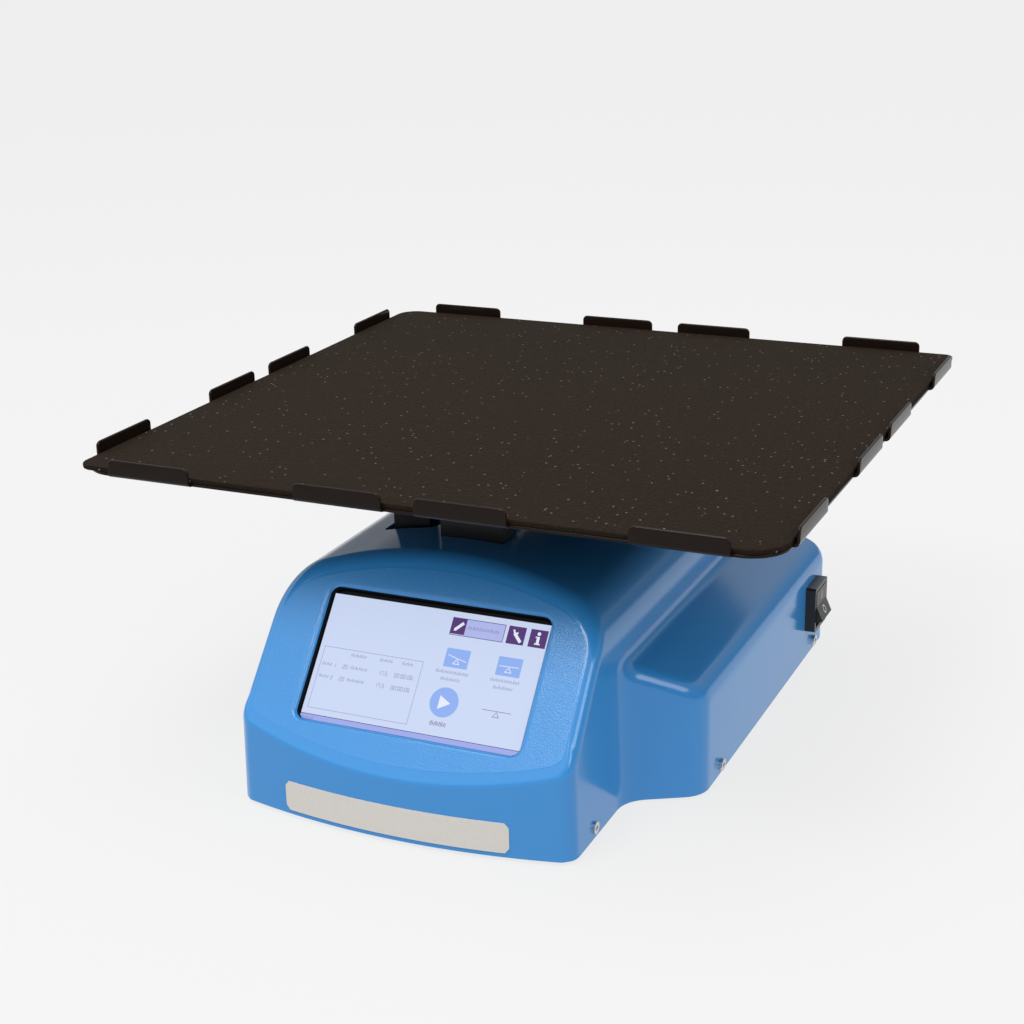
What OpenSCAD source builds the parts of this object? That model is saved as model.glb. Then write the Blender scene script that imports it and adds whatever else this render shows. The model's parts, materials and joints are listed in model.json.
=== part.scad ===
// Rocking platform shaker: a square tray on a rocking shaft above a moulded instrument housing.
// Frame: X to the right, Y to the back, Z up. The origin is on the table, below the middle of the whole.
// A toothed-belt drive turns a crank, and an upright link of a parallelogram rocks the tray with it.

/* [Tray] */
// Width and depth of the tray over its tabs
tray_w = 356; // [330:1:380]
// Height of the tab tops above the rocking axis
tray_rise = 27.8; // [25:0.2:32]
// Height of a tab over the underside of the sheet
tab_h = 9.2; // [8:0.1:10]
// Length of a tab along the edge
tab_len = 45.2; // [36:0.2:50]
// Centre of the inner tabs from the middle of an edge
tab_inner = 30.8; // [28:0.1:36]
// Centre of the outer tabs from the middle of an edge
tab_outer = 132.3; // [120:0.1:136]
// Thickness of the tray sheet
sheet_t = 1.5; // [1.2:0.1:2]
// Inside radius of the tab bend
bend_r = 1.2; // [1:0.1:1.5]
// Radius of the tray corners
tray_corner_r = 18; // [12:1:24]
// Thickness of the rubber mat
mat_t = 2.5; // [2:0.1:3.5]
// Gap between the mat's edge and the tabs
mat_gap = 1.3; // [1.2:0.1:2.5]

/* [Housing] */
// Gap between the table and the housing's lower edge
foot_gap = 2; // [1:0.5:4]
// Height of the roof ridge above the table
roof_z = 118; // [112:0.5:121]
// Radius of the arched roof
roof_r = 238; // [200:1:300]
// Radius between the roof and the sides
roof_corner_r = 25; // [16:1:30]
// Half width of the nose and the hump
nose_half = 86; // [84:0.5:90]
// Half width of the body at the wings
side_half = 120.3; // [114:0.1:126]
// Distance of the nose's front from the rocking axis plane
front_y = -196.7; // [-204:0.1:-192]
// Radius of the bowed front
bow_r = 350; // [300:5:500]
// Radius of the nose's front corners
nose_corner_r = 9; // [6:0.5:14]
// Back wall of the housing
rear_y = 124; // [118:1:130]
// Radius of the back corners
rear_corner_r = 15; // [10:1:20]
// Radius of the roof's back edge
rear_top_r = 20; // [12:1:26]
// Place where the slanted front of the wing leaves the nose
slant_y = -121.2; // [-124:0.1:-116]
// Angle of the slanted front of the wing
slant_deg = 29.1; // [24:0.1:34]
// Radius of the wing's front corner in plan
wing_front_r = 15; // [10:1:18]
// Radius of the hollow between the nose and the wing
nook_r = 15; // [10:1:18]
// Height of the wing's top where it meets the hump
wing_z = 71.8; // [66:0.2:76]
// Fall of the wing's top towards the side
wing_deg = 24; // [18:0.5:28]
// Radius of the wing's outer edge
wing_edge_r = 14; // [10:0.5:18]
// Radius of the hollow between the wing and the hump
wing_nook_r = 8; // [5:0.5:12]
// Wall thickness of the housing
wall = 3; // [2.5:0.1:3.5]

/* [Screen panel] */
// Slope of the screen panel from the level
panel_deg = 50; // [48:0.1:52]
// Height at which the panel meets the front
panel_foot_z = 33.2; // [30:0.1:36]
// Distance of the screen window's middle to the right of the housing's middle
window_x = 1.2; // [0:0.1:2]
// Distance up the slope from the panel's foot to the window's middle
window_v = 54.1; // [53:0.1:56]
// Width of the screen window
window_w = 115.8; // [112:0.1:118]
// Height of the screen window
window_h = 66.8; // [63:0.1:69]
// Corner radius of the screen window
window_r = 4.5; // [3:0.1:6]
// Width of the sloped edge of the window
window_bevel = 1.3; // [0.8:0.1:1.8]
// Thickness of the foam gasket behind the window
gasket_t = 1.4; // [1:0.1:1.8]
// Thickness of the touch glass
glass_t = 1.2; // [1:0.1:2]
// Thickness of the display module
lcd_t = 6; // [5:0.1:7]

/* [Rocking axis] */
// Height of the rocking axis above the table
axis_z = 136; // [135:0.5:137]
// Diameter of the rocking shaft
shaft_d = 10; // [8:0.5:10]
// Width of a bearing post
post_w = 33; // [32:0.5:36]
// Thickness of a bearing post
post_t = 12; // [11.5:0.5:14]
// Distance of the bearing posts' outer faces from the middle
post_y = 102; // [101:0.5:104]
// Outside diameter of the rocking bearings
bearing_d = 26; // [24:0.5:27]
// Width of the rocking bearings
bearing_w = 8; // [6:0.5:8.5]

/* [Link drive] */
// Height of the crank's axis above the table
crank_z = 62; // [60:0.5:64]
// Distance from an axis to the link's pins
crank_r = 40; // [38:0.5:42]
// Width of the link
link_w = 20; // [18:0.5:20.5]
// Thickness of the link
link_t = 8; // [6:0.5:8.5]
// Front face of the link
link_y = -87; // [-87.5:0.1:-86]
// Diameter of the link's pins
link_pin_d = 6; // [5:0.5:6.5]
// Diameter of the crank shaft
crank_shaft_d = 12; // [10:0.5:12]
// Teeth of the driven pulley
driven_teeth = 36; // [33:3:39]
// Teeth of the motor pulley
motor_teeth = 12; // [11:1:14]
// Pitch of the toothed belt
belt_pitch = 5; // [4.8:0.1:5.2]
// Width of the belt
belt_w = 9; // [8:0.5:11]
// Width of the motor's square face
motor_w = 56.4; // [54:0.2:57]
// Length of the motor's body
motor_len = 56; // [46:1:60]
// Place of the motor's axis across the housing
motor_x = 48; // [46:0.5:49]

/* [Base] */
// Thickness of the base plate
base_t = 2; // [1.5:0.1:2.5]
// Height of the base plate's top above the table
base_top_z = 13; // [12:0.5:14]
// Radius of a rubber foot
foot_r = 9; // [8:0.5:11]
// Height of the side screws above the table
side_screw_z = 7.3; // [7:0.1:8]

/* [Power switch] */
// Width of the switch bezel along the wall
switch_w = 24; // [22:0.5:26]
// Height of the switch bezel
switch_h = 26; // [25:0.5:28]
// Stand of the switch bezel from the wall
switch_stand = 5.7; // [5:0.1:6.2]
// Place of the switch along the wall
switch_y = 86.5; // [84:0.5:88]
// Height of the middle of the switch
switch_z = 31.5; // [31:0.5:33]
// Travel of the rocker between on and off, in degrees
rocker_travel = 24; // [18:1:26]

/* [Fits] */
// Radial clearance of a turning fit
run_fit = 0.03; // [0.02:0.01:0.06]
// Radial clearance of a seated bearing or bush
seat_fit = 0.02; // [0.01:0.01:0.05]
// Clearance round a screw in its hole
screw_fit = 0.2; // [0.15:0.05:0.3]
// Gap round a piece that passes through the housing
pass_gap = 0.3; // [0.3:0.1:0.8]

/* [Hidden] */
$fn = 64;
eps = 0.01;

// tray
sheet_z = axis_z + tray_rise - tab_h;
sheet_top_z = sheet_z + sheet_t;
tray_half = tray_w / 2;
bend_out = bend_r + sheet_t;
edge_half = tray_half - bend_out + eps;
mat_half = tray_half - sheet_t - mat_gap;
tab_corner_r = 2.8;

// housing
bow_y = front_y + bow_r;
roof_c = roof_z - roof_r;
roof_corner_x = nose_half - roof_corner_r;
roof_corner_z = roof_c + sqrt(pow(roof_r - roof_corner_r, 2) - pow(roof_corner_x, 2));
nose_corner_x = nose_half - nose_corner_r;
nose_corner_y = bow_y - sqrt(pow(bow_r - nose_corner_r, 2) - pow(nose_corner_x, 2));
function slant_at(x, in) = slant_y + (x - nose_half) * tan(slant_deg) + in / cos(slant_deg);
function wing_at(x, in) = wing_z - (x - nose_half) * tan(wing_deg) - in / cos(wing_deg);
function panel_at(z, in) = front_y + (z - panel_foot_z + in / cos(panel_deg)) / tan(panel_deg);
wing_c = [side_half - wing_edge_r, wing_at(side_half - wing_edge_r, wing_edge_r)];
wing_nook_c = [nose_half + wing_nook_r, wing_at(nose_half + wing_nook_r, -wing_nook_r)];
slant_c = [side_half - wing_front_r, slant_at(side_half - wing_front_r, wing_front_r)];
nook_c = [nose_half + nook_r, slant_at(nose_half + nook_r, -nook_r)];
window_y = front_y + window_v * cos(panel_deg);
window_z = panel_foot_z + window_v * sin(panel_deg);
label_w = 116;
label_h = 15;
label_z = 11.8;
label_t = 0.5;
label_glue = 0.2;
tray_y = -(front_y - label_glue - label_t + tray_half) / 2;

// display stack, measured inwards from the panel's face
gasket_z = -wall;
glass_z = gasket_z - gasket_t;
lcd_z = glass_z - glass_t;
carrier_z = lcd_z - lcd_t;
carrier_t = 1.2;
carrier_open = [60, 30];
lcd_w = window_w + 8;
lcd_h = window_h + 8;
boss_x = lcd_w / 2 + 6;
boss_y = lcd_h / 2 - 8;
boss_r = 4;
display_screw_r = 1.5;
board_gap = 4;
board_t = 1.6;
board_w = 108;
board_h = 62;

// rocking axis
shaft_r = shaft_d / 2;
bearing_r = bearing_d / 2;
post_in = post_y - post_t;
bearing_end = post_in + bearing_w;
post_foot_w = 56;
post_foot_l = 22;
post_foot_h = 8;
post_rib_h = 60;
post_screw_x = 22;
m5_r = 2.5;
m4_r = 2;
m3_r = 1.5;

// link drive
link_back = link_y + link_t;
link_mid = link_y + link_t / 2;
pin_r = link_pin_d / 2;
bush_wall = 2;
bush_r = pin_r + bush_wall;
lug_gap = 1.4;
lug_t = 4;
lug_front = link_y - lug_gap - lug_t;
lug_back = link_back + lug_gap + lug_t;
lug_r = pin_r + 3.2;
lever_w = 30;
arm_t = 9;
arm_front = link_back + 1;
arm_back = arm_front + arm_t;
arm_hub_r = 13;
arm_eye_r = 9;
flag_t = 1.5;
flag_r = 30;
block_front = -64;
block_len = 30;
block_back = block_front + block_len;
block_r = 22;
block_foot_w = 72;
block_foot_h = 8;
block_screw_x = block_foot_w / 2 - 6;
block_screw_in = 7;
block_screw_y = [block_front + block_screw_in, block_back - block_screw_in];
sensor_seat_l = 16;
crank_shaft_r = crank_shaft_d / 2;
crank_bearing_r = 14;
crank_bearing_w = 8;
pulley_front = -31.5;
pulley_w = belt_w + 7;
pulley_back = pulley_front + pulley_w;
belt_y = pulley_front + (pulley_w - belt_w) / 2;
driven_r = driven_teeth * belt_pitch / PI / 2;
motor_r = motor_teeth * belt_pitch / PI / 2;
belt_t = 2;
belt_gap = 0.25;
motor_plate_t = 4;
motor_plate_y = -12;
motor_y = motor_plate_y + motor_plate_t;
motor_foot_t = 4;
motor_foot_w = motor_w + 16;
motor_foot_l = 40;
motor_foot_at = [for (s = [-1, 1], y = [7, motor_foot_l - 7])
  [motor_x + s * (motor_w / 2 + 4), motor_plate_y + y]];
motor_z = base_top_z + motor_foot_t + 1 + motor_w / 2;
motor_shaft_r = 3.175;
motor_pilot_r = 19.05;
motor_pilot_h = 1.6;
motor_hole = 47.14 / 2;
motor_run_fit = 0.05;
motor_grip = 6;
motor_cap = 9;
motor_tail = 11;
slot_left = -crank_r - link_w / 2 - 5;
slot_right = -crank_r + link_w / 2 + 5;
slot_front = link_y - 3;
slot_back = link_back + 5;
slot_r = 3;

// base
base_z = base_top_z - base_t;
base_in = wall + 0.25;
flange_w = 26;
flange_z = foot_gap + 2;
side_screw_y = [-160, -77, 91.4];
side_screw_x = [nose_half, side_half, side_half];
foot_at = [[-62, -165], [62, -165], [-98, 96], [98, 96]];
vent_n = 6;
vent_pitch = 6;
vent_len = 24;
vent_y = motor_y + motor_len + 18;

// power switch
rocker_x = side_half - 1.9;
rocker_face = switch_stand + 1.9 + 0.2;
rocker_half_h = switch_h / 2 - 2.6;
rocker_half_w = switch_w / 2 - 2.6;
rocker_gap = 0.3;
rocker_pin_r = 1.5;
neck_w = switch_w - 3;
neck_h = switch_h - 3;
neck_len = 19;
jack_at = [70, 34];
jack_r = 6;
jack_bore_r = 3.2;
jack_nut_t = 2.4;

black = "#202022";
steel = "#b9bcc0";
blue = "#4b93cf";
green = "#1f6b3a";

// ---- shared helpers ----

// pieces drawn about the tray's middle, put in the part's frame
module in_frame() translate([0, tray_y, 0]) children();

// children drawn in X-Z and extruded from y0 to y1
module along_y(y0, y1) translate([0, y1, 0]) rotate([90, 0, 0]) linear_extrude(y1 - y0) children();

// children drawn in Y-Z and extruded from x0 to x1
module along_x(x0, x1) translate([x0, 0, 0]) rotate([90, 0, 90]) linear_extrude(x1 - x0) children();

// a round bar along Y
module bar_y(r, y0, y1) translate([0, y1, 0]) rotate([90, 0, 0]) cylinder(r = r, h = y1 - y0);

// a round bar along X
module bar_x(r, x0, x1) translate([x0, 0, 0]) rotate([0, 90, 0]) cylinder(r = r, h = x1 - x0);

// the same drawing on both sides of X = 0
module both_sides() {
  children();
  mirror([1, 0, 0]) children();
}

// a rectangle with round corners about the origin
module round_rect(w, h, r) {
  square([w, h - 2 * r], center = true);
  square([w - 2 * r, h], center = true);
  for (sx = [-1, 1], sy = [-1, 1]) translate([sx * (w / 2 - r), sy * (h / 2 - r)]) circle(r = r);
}

// window frame: x along the panel, y up its slope, z out of its face
module on_panel() translate([window_x, window_y, window_z]) rotate([panel_deg, 0, 0]) children();

// a pan-head screw along -Z whose head sits on z = 0
module pan_screw(r, len, head_r, head_h) {
  translate([0, 0, -len]) cylinder(r = r, h = len + eps);
  difference() {
    cylinder(r = head_r, h = head_h);
    for (a = [0, 90]) rotate(a) translate([-head_r * 0.55, -r * 0.2, head_h * 0.45])
      cube([head_r * 1.1, r * 0.4, head_h]);
  }
}

// a cap screw along -Z with a hexagon socket
module cap_screw(r, len) {
  translate([0, 0, -len]) cylinder(r = r, h = len + eps);
  difference() {
    cylinder(r = r * 1.7, h = r * 2);
    translate([0, 0, r]) cylinder(r = r * 0.92, h = r * 2, $fn = 6);
  }
}

// a hexagon nut standing on z = 0
module hex_nut(r, h) difference() {
  cylinder(r = r * 2.1, h = h, $fn = 6);
  translate([0, 0, -1]) cylinder(r = r + run_fit, h = h + 2);
}

// ---- housing ----

// cross-section of the hump, moved inwards by in
module hump_profile(in) {
  tangent_x = roof_corner_x * roof_r / (roof_r - roof_corner_r);
  intersection() {
    translate([0, roof_c]) circle(r = roof_r - in, $fn = 360);
    translate([-tangent_x, 0]) square([2 * tangent_x, roof_z]);
  }
  both_sides() translate([roof_corner_x, roof_corner_z]) circle(r = roof_corner_r - in);
  translate([-nose_half + in, -1]) square([2 * (nose_half - in), roof_corner_z + 1]);
}

// cross-section of the wings, with the hollow where they meet the hump
module wing_profile(in) {
  edge = wing_c + (wing_edge_r - in) * [sin(wing_deg), cos(wing_deg)];
  nook = wing_nook_c - (wing_nook_r + in) * [sin(wing_deg), cos(wing_deg)];
  both_sides() {
    polygon([[0, -1], [side_half - in, -1], [side_half - in, wing_c.y], edge,
             [nose_half - 10, wing_at(nose_half - 10, in)], [0, wing_at(nose_half - 10, in)]]);
    translate(wing_c) circle(r = wing_edge_r - in);
    difference() {
      polygon([[nose_half - 10, wing_z - 8], nook - [0, 2], nook, wing_nook_c,
               [nose_half - 10, wing_nook_c.y]]);
      translate(wing_nook_c) circle(r = wing_nook_r + in);
    }
  }
}

// outline of the housing on the table, moved inwards by in
module plan(in) {
  bow_x = nose_corner_x * bow_r / (bow_r - nose_corner_r);
  slant_n = [sin(slant_deg), -cos(slant_deg)];
  slant_tip = slant_c + (wing_front_r - in) * slant_n;
  nook_tip = nook_c - (nook_r + in) * slant_n;
  intersection() {
    translate([0, bow_y]) circle(r = bow_r - in, $fn = 720);
    translate([-bow_x, front_y]) square([2 * bow_x, -front_y]);
  }
  both_sides() translate([nose_corner_x, nose_corner_y]) circle(r = nose_corner_r - in);
  translate([-nose_half + in, nose_corner_y]) square([2 * (nose_half - in), -nose_corner_y]);
  both_sides() {
    polygon([[0, slant_at(nose_half, in)], [nose_half - in, slant_at(nose_half - in, in)], slant_tip,
             [side_half - in, slant_c.y], [side_half - in, rear_y - rear_corner_r],
             [side_half - rear_corner_r, rear_y - in], [0, rear_y - in]]);
    translate(slant_c) circle(r = wing_front_r - in);
    translate([side_half - rear_corner_r, rear_y - rear_corner_r]) circle(r = rear_corner_r - in);
    difference() {
      polygon([[nose_half - 10, nook_c.y], nook_c, nook_tip, nook_tip + [0, 4],
               [nose_half - 10, slant_y + 4]]);
      translate(nook_c) circle(r = nook_r + in);
    }
  }
}

// side view of the housing, moved in by in: the sloped panel, the ridge and the round back edge
module side_profile(in) {
  polygon([[panel_at(-1, in), -1], [panel_at(roof_z - in, in), roof_z - in],
           [rear_y - rear_top_r, roof_z - in], [rear_y - in, roof_z - rear_top_r], [rear_y - in, -1]]);
  translate([rear_y - rear_top_r, roof_z - rear_top_r]) circle(r = rear_top_r - in);
}

// the solid inside an offset of the housing's skin, standing on floor_z
module housing_form(in, floor_z) intersection() {
  union() {
    along_y(front_y - 5, rear_y + 5) hump_profile(in);
    along_y(nook_c.y, rear_y + 5) wing_profile(in);
  }
  translate([0, 0, floor_z]) linear_extrude(roof_z) plan(in);
  along_x(-side_half - 1, side_half + 1) side_profile(in);
}

module window_cut() {
  linear_extrude(4 * wall, center = true) round_rect(window_w, window_h, window_r);
  for (a = [0, 180]) rotate(a) {
    translate([0, window_h / 2, 0]) rotate([45, 0, 0])
      cube([window_w + 2 * window_bevel - 2 * window_r, window_bevel * sqrt(2), window_bevel * sqrt(2)],
           center = true);
    translate([window_w / 2, 0, 0]) rotate([0, 45, 0])
      cube([window_bevel * sqrt(2), window_h + 2 * window_bevel - 2 * window_r, window_bevel * sqrt(2)],
           center = true);
  }
  for (sx = [-1, 1], sy = [-1, 1])
    translate([sx * (window_w / 2 - window_r), sy * (window_h / 2 - window_r), -window_bevel])
      cylinder(r1 = window_r, r2 = window_r + window_bevel, h = window_bevel);
}

module slot_outline() {
  w = slot_right - slot_left;
  l = slot_back - slot_front;
  translate([(slot_left + slot_right) / 2, (slot_front + slot_back) / 2]) round_rect(w, l, slot_r);
}

module housing_shell() in_frame() color(blue) difference() {
  union() {
    difference() {
      housing_form(0, foot_gap);
      housing_form(wall, foot_gap - 1);
    }
    // bosses behind the panel that carry the display
    on_panel() for (sx = [-1, 1], sy = [-1, 1]) translate([sx * boss_x, sy * boss_y, carrier_z])
      cylinder(r = boss_r, h = -carrier_z - wall / 2);
  }
  on_panel() window_cut();
  on_panel() for (sx = [-1, 1], sy = [-1, 1]) translate([sx * boss_x, sy * boss_y, carrier_z - 1])
    cylinder(r = display_screw_r + run_fit, h = 8);
  // openings for the bearing posts and the link
  for (s = [-1, 1]) translate([0, s * (post_y - post_t / 2), roof_z])
    cube([post_w + 2 * pass_gap, post_t + 2 * pass_gap, 30], center = true);
  translate([0, 0, roof_z - 25]) linear_extrude(30) slot_outline();
  // openings for the switch, the power jack and the side screws
  translate([side_half, switch_y, switch_z])
    cube([4 * wall, neck_w + 2 * pass_gap, neck_h + 2 * pass_gap], center = true);
  translate([jack_at.x, 0, jack_at.y]) bar_y(jack_r + pass_gap, rear_y - 2 * wall, rear_y + 1);
  for (k = [0:2], s = [-1, 1]) translate([0, side_screw_y[k], side_screw_z])
    bar_x(m3_r + screw_fit, s > 0 ? side_screw_x[k] - 2 * wall : -side_screw_x[k] - 1,
          s > 0 ? side_screw_x[k] + 1 : -side_screw_x[k] + 2 * wall);
}

// the bare plate on the bowed front, under the screen
module front_label() in_frame() color("#e9e4d4") intersection() {
  translate([0, bow_y, 0]) difference() {
    cylinder(r = bow_r + label_glue + label_t, h = 2 * label_z, $fn = 720);
    translate([0, 0, -1]) cylinder(r = bow_r + label_glue, h = 2 * label_z + 2, $fn = 720);
  }
  along_y(front_y - 2, front_y + 10) translate([0, label_z]) round_rect(label_w, label_h, 2.5);
}

// ---- base ----

module base_plate() in_frame() color("#8f9499") difference() {
  union() {
    translate([0, 0, base_z]) linear_extrude(base_t) plan(base_in);
    // flanges turned down inside the housing wall, one at each side screw
    for (k = [0:2]) intersection() {
      translate([0, 0, flange_z]) linear_extrude(base_z - flange_z + eps) difference() {
        plan(base_in);
        plan(base_in + base_t);
      }
      translate([-side_half, side_screw_y[k] - flange_w / 2, 0]) cube([2 * side_half, flange_w, base_top_z]);
    }
  }
  for (k = [0:2]) translate([0, side_screw_y[k], side_screw_z]) bar_x(m3_r + run_fit, -side_half, side_half);
  for (p = foot_at) translate([p.x, p.y, 0]) cylinder(r = m3_r + screw_fit, h = base_top_z + 1);
  for (s = [-1, 1], x = [-post_screw_x, post_screw_x])
    translate([x, s * (post_y - post_foot_l / 2), 0]) cylinder(r = m5_r + screw_fit, h = base_top_z + 1);
  for (x = [-1, 1], y = [block_front + 7, block_back - 7])
    translate([x * block_screw_x, y, 0]) cylinder(r = m4_r + screw_fit, h = base_top_z + 1);
  for (p = motor_foot_at) translate([p.x, p.y, 0]) cylinder(r = m4_r + screw_fit, h = base_top_z + 1);
  // cooling slots behind the motor
  for (i = [0:vent_n - 1]) translate([motor_x + (i - (vent_n - 1) / 2) * vent_pitch, vent_y, 0])
    linear_extrude(base_top_z + 1) round_rect(vent_pitch / 2, vent_len, vent_pitch / 4 - 0.1);
}

module rubber_feet() in_frame() color("#2b2b2b") for (p = foot_at) translate([p.x, p.y, 0]) difference() {
  union() {
    cylinder(r1 = foot_r - 1, r2 = foot_r, h = 3);
    translate([0, 0, 3]) cylinder(r = foot_r, h = base_z - 3);
  }
  translate([0, 0, -1]) cylinder(r = 4, h = 5);
  cylinder(r = m3_r + screw_fit, h = base_z + 1);
}

module foot_screws() in_frame() color(steel) for (p = foot_at) translate([p.x, p.y, 4]) mirror([0, 0, 1])
  pan_screw(m3_r, base_top_z, 2.8, 2);

module foot_nuts() in_frame() color(steel) for (p = foot_at)
  translate([p.x, p.y, base_top_z]) hex_nut(m3_r, 2.4);

module housing_screws() in_frame() color(steel) for (k = [0:2], s = [-1, 1])
  translate([s * side_screw_x[k], side_screw_y[k], side_screw_z]) rotate([0, s * 90, 0])
    pan_screw(m3_r, wall + 5, 3, 2);

// ---- display ----

module display_gasket() in_frame() color(black) on_panel() translate([0, 0, glass_z])
  linear_extrude(gasket_t) difference() {
    round_rect(window_w + 7, window_h + 7, 3);
    round_rect(window_w + 0.6, window_h + 0.6, window_r);
  }

module touch_glass() in_frame() color("#101114") on_panel() translate([0, 0, lcd_z])
  linear_extrude(glass_t) round_rect(lcd_w, lcd_h, 2);

module display_module() in_frame() color("#9aa0a8") on_panel() difference() {
  translate([0, 0, carrier_z]) linear_extrude(lcd_t) round_rect(lcd_w - 1, lcd_h - 1, 1);
  translate([0, -lcd_h / 2 + 6, carrier_z - 1]) linear_extrude(3) round_rect(40, 6, 1);
}

module display_carrier() in_frame() color(steel) on_panel()
  translate([0, 0, carrier_z - carrier_t]) difference() {
  union() {
    linear_extrude(carrier_t) {
      round_rect(lcd_w + 2, lcd_h + 2, 3);
      for (sy = [-1, 1]) translate([0, sy * boss_y]) round_rect(2 * boss_x + 9, 10, 4);
    }
    for (sx = [-1, 1], sy = [-1, 1]) translate([sx * (board_w / 2 - 6), sy * (board_h / 2 - 5), -board_gap])
      cylinder(r = 3, h = board_gap + eps);
  }
  translate([0, 0, -1]) linear_extrude(carrier_t + 2) round_rect(carrier_open.x, carrier_open.y, 3);
  for (sx = [-1, 1], sy = [-1, 1]) translate([sx * boss_x, sy * boss_y, -1])
    cylinder(r = display_screw_r + screw_fit, h = carrier_t + 2);
}

module display_screws() in_frame() color(steel) on_panel() for (sx = [-1, 1], sy = [-1, 1])
  translate([sx * boss_x, sy * boss_y, carrier_z - carrier_t]) mirror([0, 0, 1])
    pan_screw(display_screw_r, carrier_t + 5, 2.8, 2);

module display_board() in_frame() color(green) on_panel()
  translate([0, 0, carrier_z - carrier_t - board_gap - board_t]) {
    linear_extrude(board_t) round_rect(board_w, board_h, 2);
    // chips on its back: [x, y, width, length, height]
    for (c = [[-20, 8, 14, 14, 1.6], [14, 10, 10, 10, 1.4], [34, -10, 8, 12, 1.4], [-34, -14, 10, 6, 1.2]])
      translate([c[0], c[1], -c[4] + eps / 2]) linear_extrude(c[4]) round_rect(c[2], c[3], 0.4);
    for (x = [-20, 20]) translate([x, -board_h / 2 + 5, -4])
      linear_extrude(4 + eps) round_rect(22, 6, 0.5);
  }

// ---- bearing posts ----

module bearing_post() difference() {
  union() {
    along_y(-post_y, -post_in) {
      translate([-post_w / 2, base_top_z]) square([post_w, axis_z - base_top_z]);
      translate([0, axis_z]) circle(r = post_w / 2);
    }
    translate([-post_foot_w / 2, -post_y, base_top_z]) cube([post_foot_w, post_foot_l, post_foot_h]);
    // stiffening rib down the inner face, inside the housing
    along_x(-4, 4) polygon([[-post_in - eps, base_top_z + post_foot_h],
                            [-post_y + post_foot_l, base_top_z + post_foot_h],
                            [-post_in - eps, base_top_z + post_rib_h]]);
  }
  translate([0, 0, axis_z]) bar_y(bearing_r, -bearing_end, -post_in + 1);
  for (x = [-post_screw_x, post_screw_x]) translate([x, -post_y + post_foot_l / 2, base_top_z - 1])
    cylinder(r = m5_r + screw_fit, h = post_foot_h + 2);
}

module front_post() in_frame() color(black) bearing_post();

module rear_post() in_frame() color(black) mirror([0, 1, 0]) bearing_post();

module post_screws() in_frame() color(steel) for (s = [-1, 1], x = [-post_screw_x, post_screw_x])
  translate([x, s * (post_y - post_foot_l / 2), base_top_z + post_foot_h])
    cap_screw(m5_r, post_foot_h + base_t + 5);

module post_nuts() in_frame() color(steel) for (s = [-1, 1], x = [-post_screw_x, post_screw_x])
  translate([x, s * (post_y - post_foot_l / 2), base_z - 4]) hex_nut(m5_r, 4);

// a shielded ball bearing on the Y axis: two rings joined by a sunk shield
module ball_bearing(r_out, r_in, y0, w) translate([0, y0 + w, 0]) rotate([90, 0, 0])
  rotate_extrude() difference() {
    translate([r_in, 0]) square([r_out - r_in, w]);
    for (y = [0, w]) translate([(r_out + r_in) / 2, y]) square([(r_out - r_in) * 0.5, 1.2], center = true);
  }

module rocker_bearings() in_frame() color(steel) translate([0, 0, axis_z]) {
  ball_bearing(bearing_r - seat_fit, shaft_r + run_fit, -bearing_end, bearing_w);
  ball_bearing(bearing_r - seat_fit, shaft_r + run_fit, post_in, bearing_w);
}

// ---- tray and what rocks with it ----

module rocker_shaft() in_frame() color(steel) translate([0, 0, axis_z])
  bar_y(shaft_r, -bearing_end + 0.3, bearing_end - 0.3);

bracket_hub_r = 12;
bracket_w = 48;
bracket_front = post_in - 2;
bracket_len = 24;
bracket_flange_t = 5;
bracket_screw_x = 18;
bracket_screw_y = 7;

// clamp bracket between the shaft and the tray, on the front side
module tray_bracket() difference() {
  along_y(-bracket_front, -bracket_front + bracket_len) {
    translate([0, axis_z]) circle(r = bracket_hub_r);
    translate([-bracket_hub_r, axis_z]) square([2 * bracket_hub_r, sheet_z - axis_z]);
    translate([-bracket_w / 2, sheet_z - bracket_flange_t]) square([bracket_w, bracket_flange_t]);
  }
  translate([0, 0, axis_z]) bar_y(shaft_r + run_fit, -bracket_front - 1, -bracket_front + bracket_len + 1);
  for (x = [-1, 1], y = [-1, 1])
    translate([x * bracket_screw_x, -bracket_front + bracket_len / 2 + y * bracket_screw_y, 0])
      translate([0, 0, sheet_z - bracket_flange_t - 1])
        cylinder(r = m4_r + run_fit, h = bracket_flange_t + 2);
  translate([0, -bracket_front + bracket_len / 2, axis_z - bracket_hub_r - 1])
    cylinder(r = m4_r + run_fit, h = bracket_hub_r);
}

module front_tray_bracket() in_frame() color(black) tray_bracket();

module rear_tray_bracket() in_frame() color(black) mirror([0, 1, 0]) tray_bracket();

module bracket_set_screws() in_frame() color(steel) for (s = [-1, 1])
  translate([0, s * (bracket_front - bracket_len / 2), axis_z - bracket_hub_r]) difference() {
    cylinder(r = m4_r, h = bracket_hub_r - shaft_r - 0.02);
    translate([0, 0, -1]) cylinder(r = 1.1, h = 3.5, $fn = 6);
  }

lever_screw_x = 11;

module lever_bracket() in_frame() color(black) translate([-crank_r, 0, 0]) difference() {
  union() {
    translate([-lever_w / 2, lug_front, sheet_z - bracket_flange_t])
      cube([lever_w, lug_back - lug_front, bracket_flange_t]);
    for (y = [lug_front, lug_back - lug_t]) along_y(y, y + lug_t) {
      translate([0, axis_z]) circle(r = lug_r);
      translate([-lug_r, axis_z]) square([2 * lug_r, sheet_z - axis_z]);
    }
  }
  translate([0, 0, axis_z]) bar_y(pin_r + run_fit, lug_front - 1, lug_back + 1);
  for (x = [-1, 1]) translate([x * lever_screw_x, link_mid, sheet_z - bracket_flange_t - 1])
    cylinder(r = m4_r + run_fit, h = bracket_flange_t + 2);
}

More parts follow.
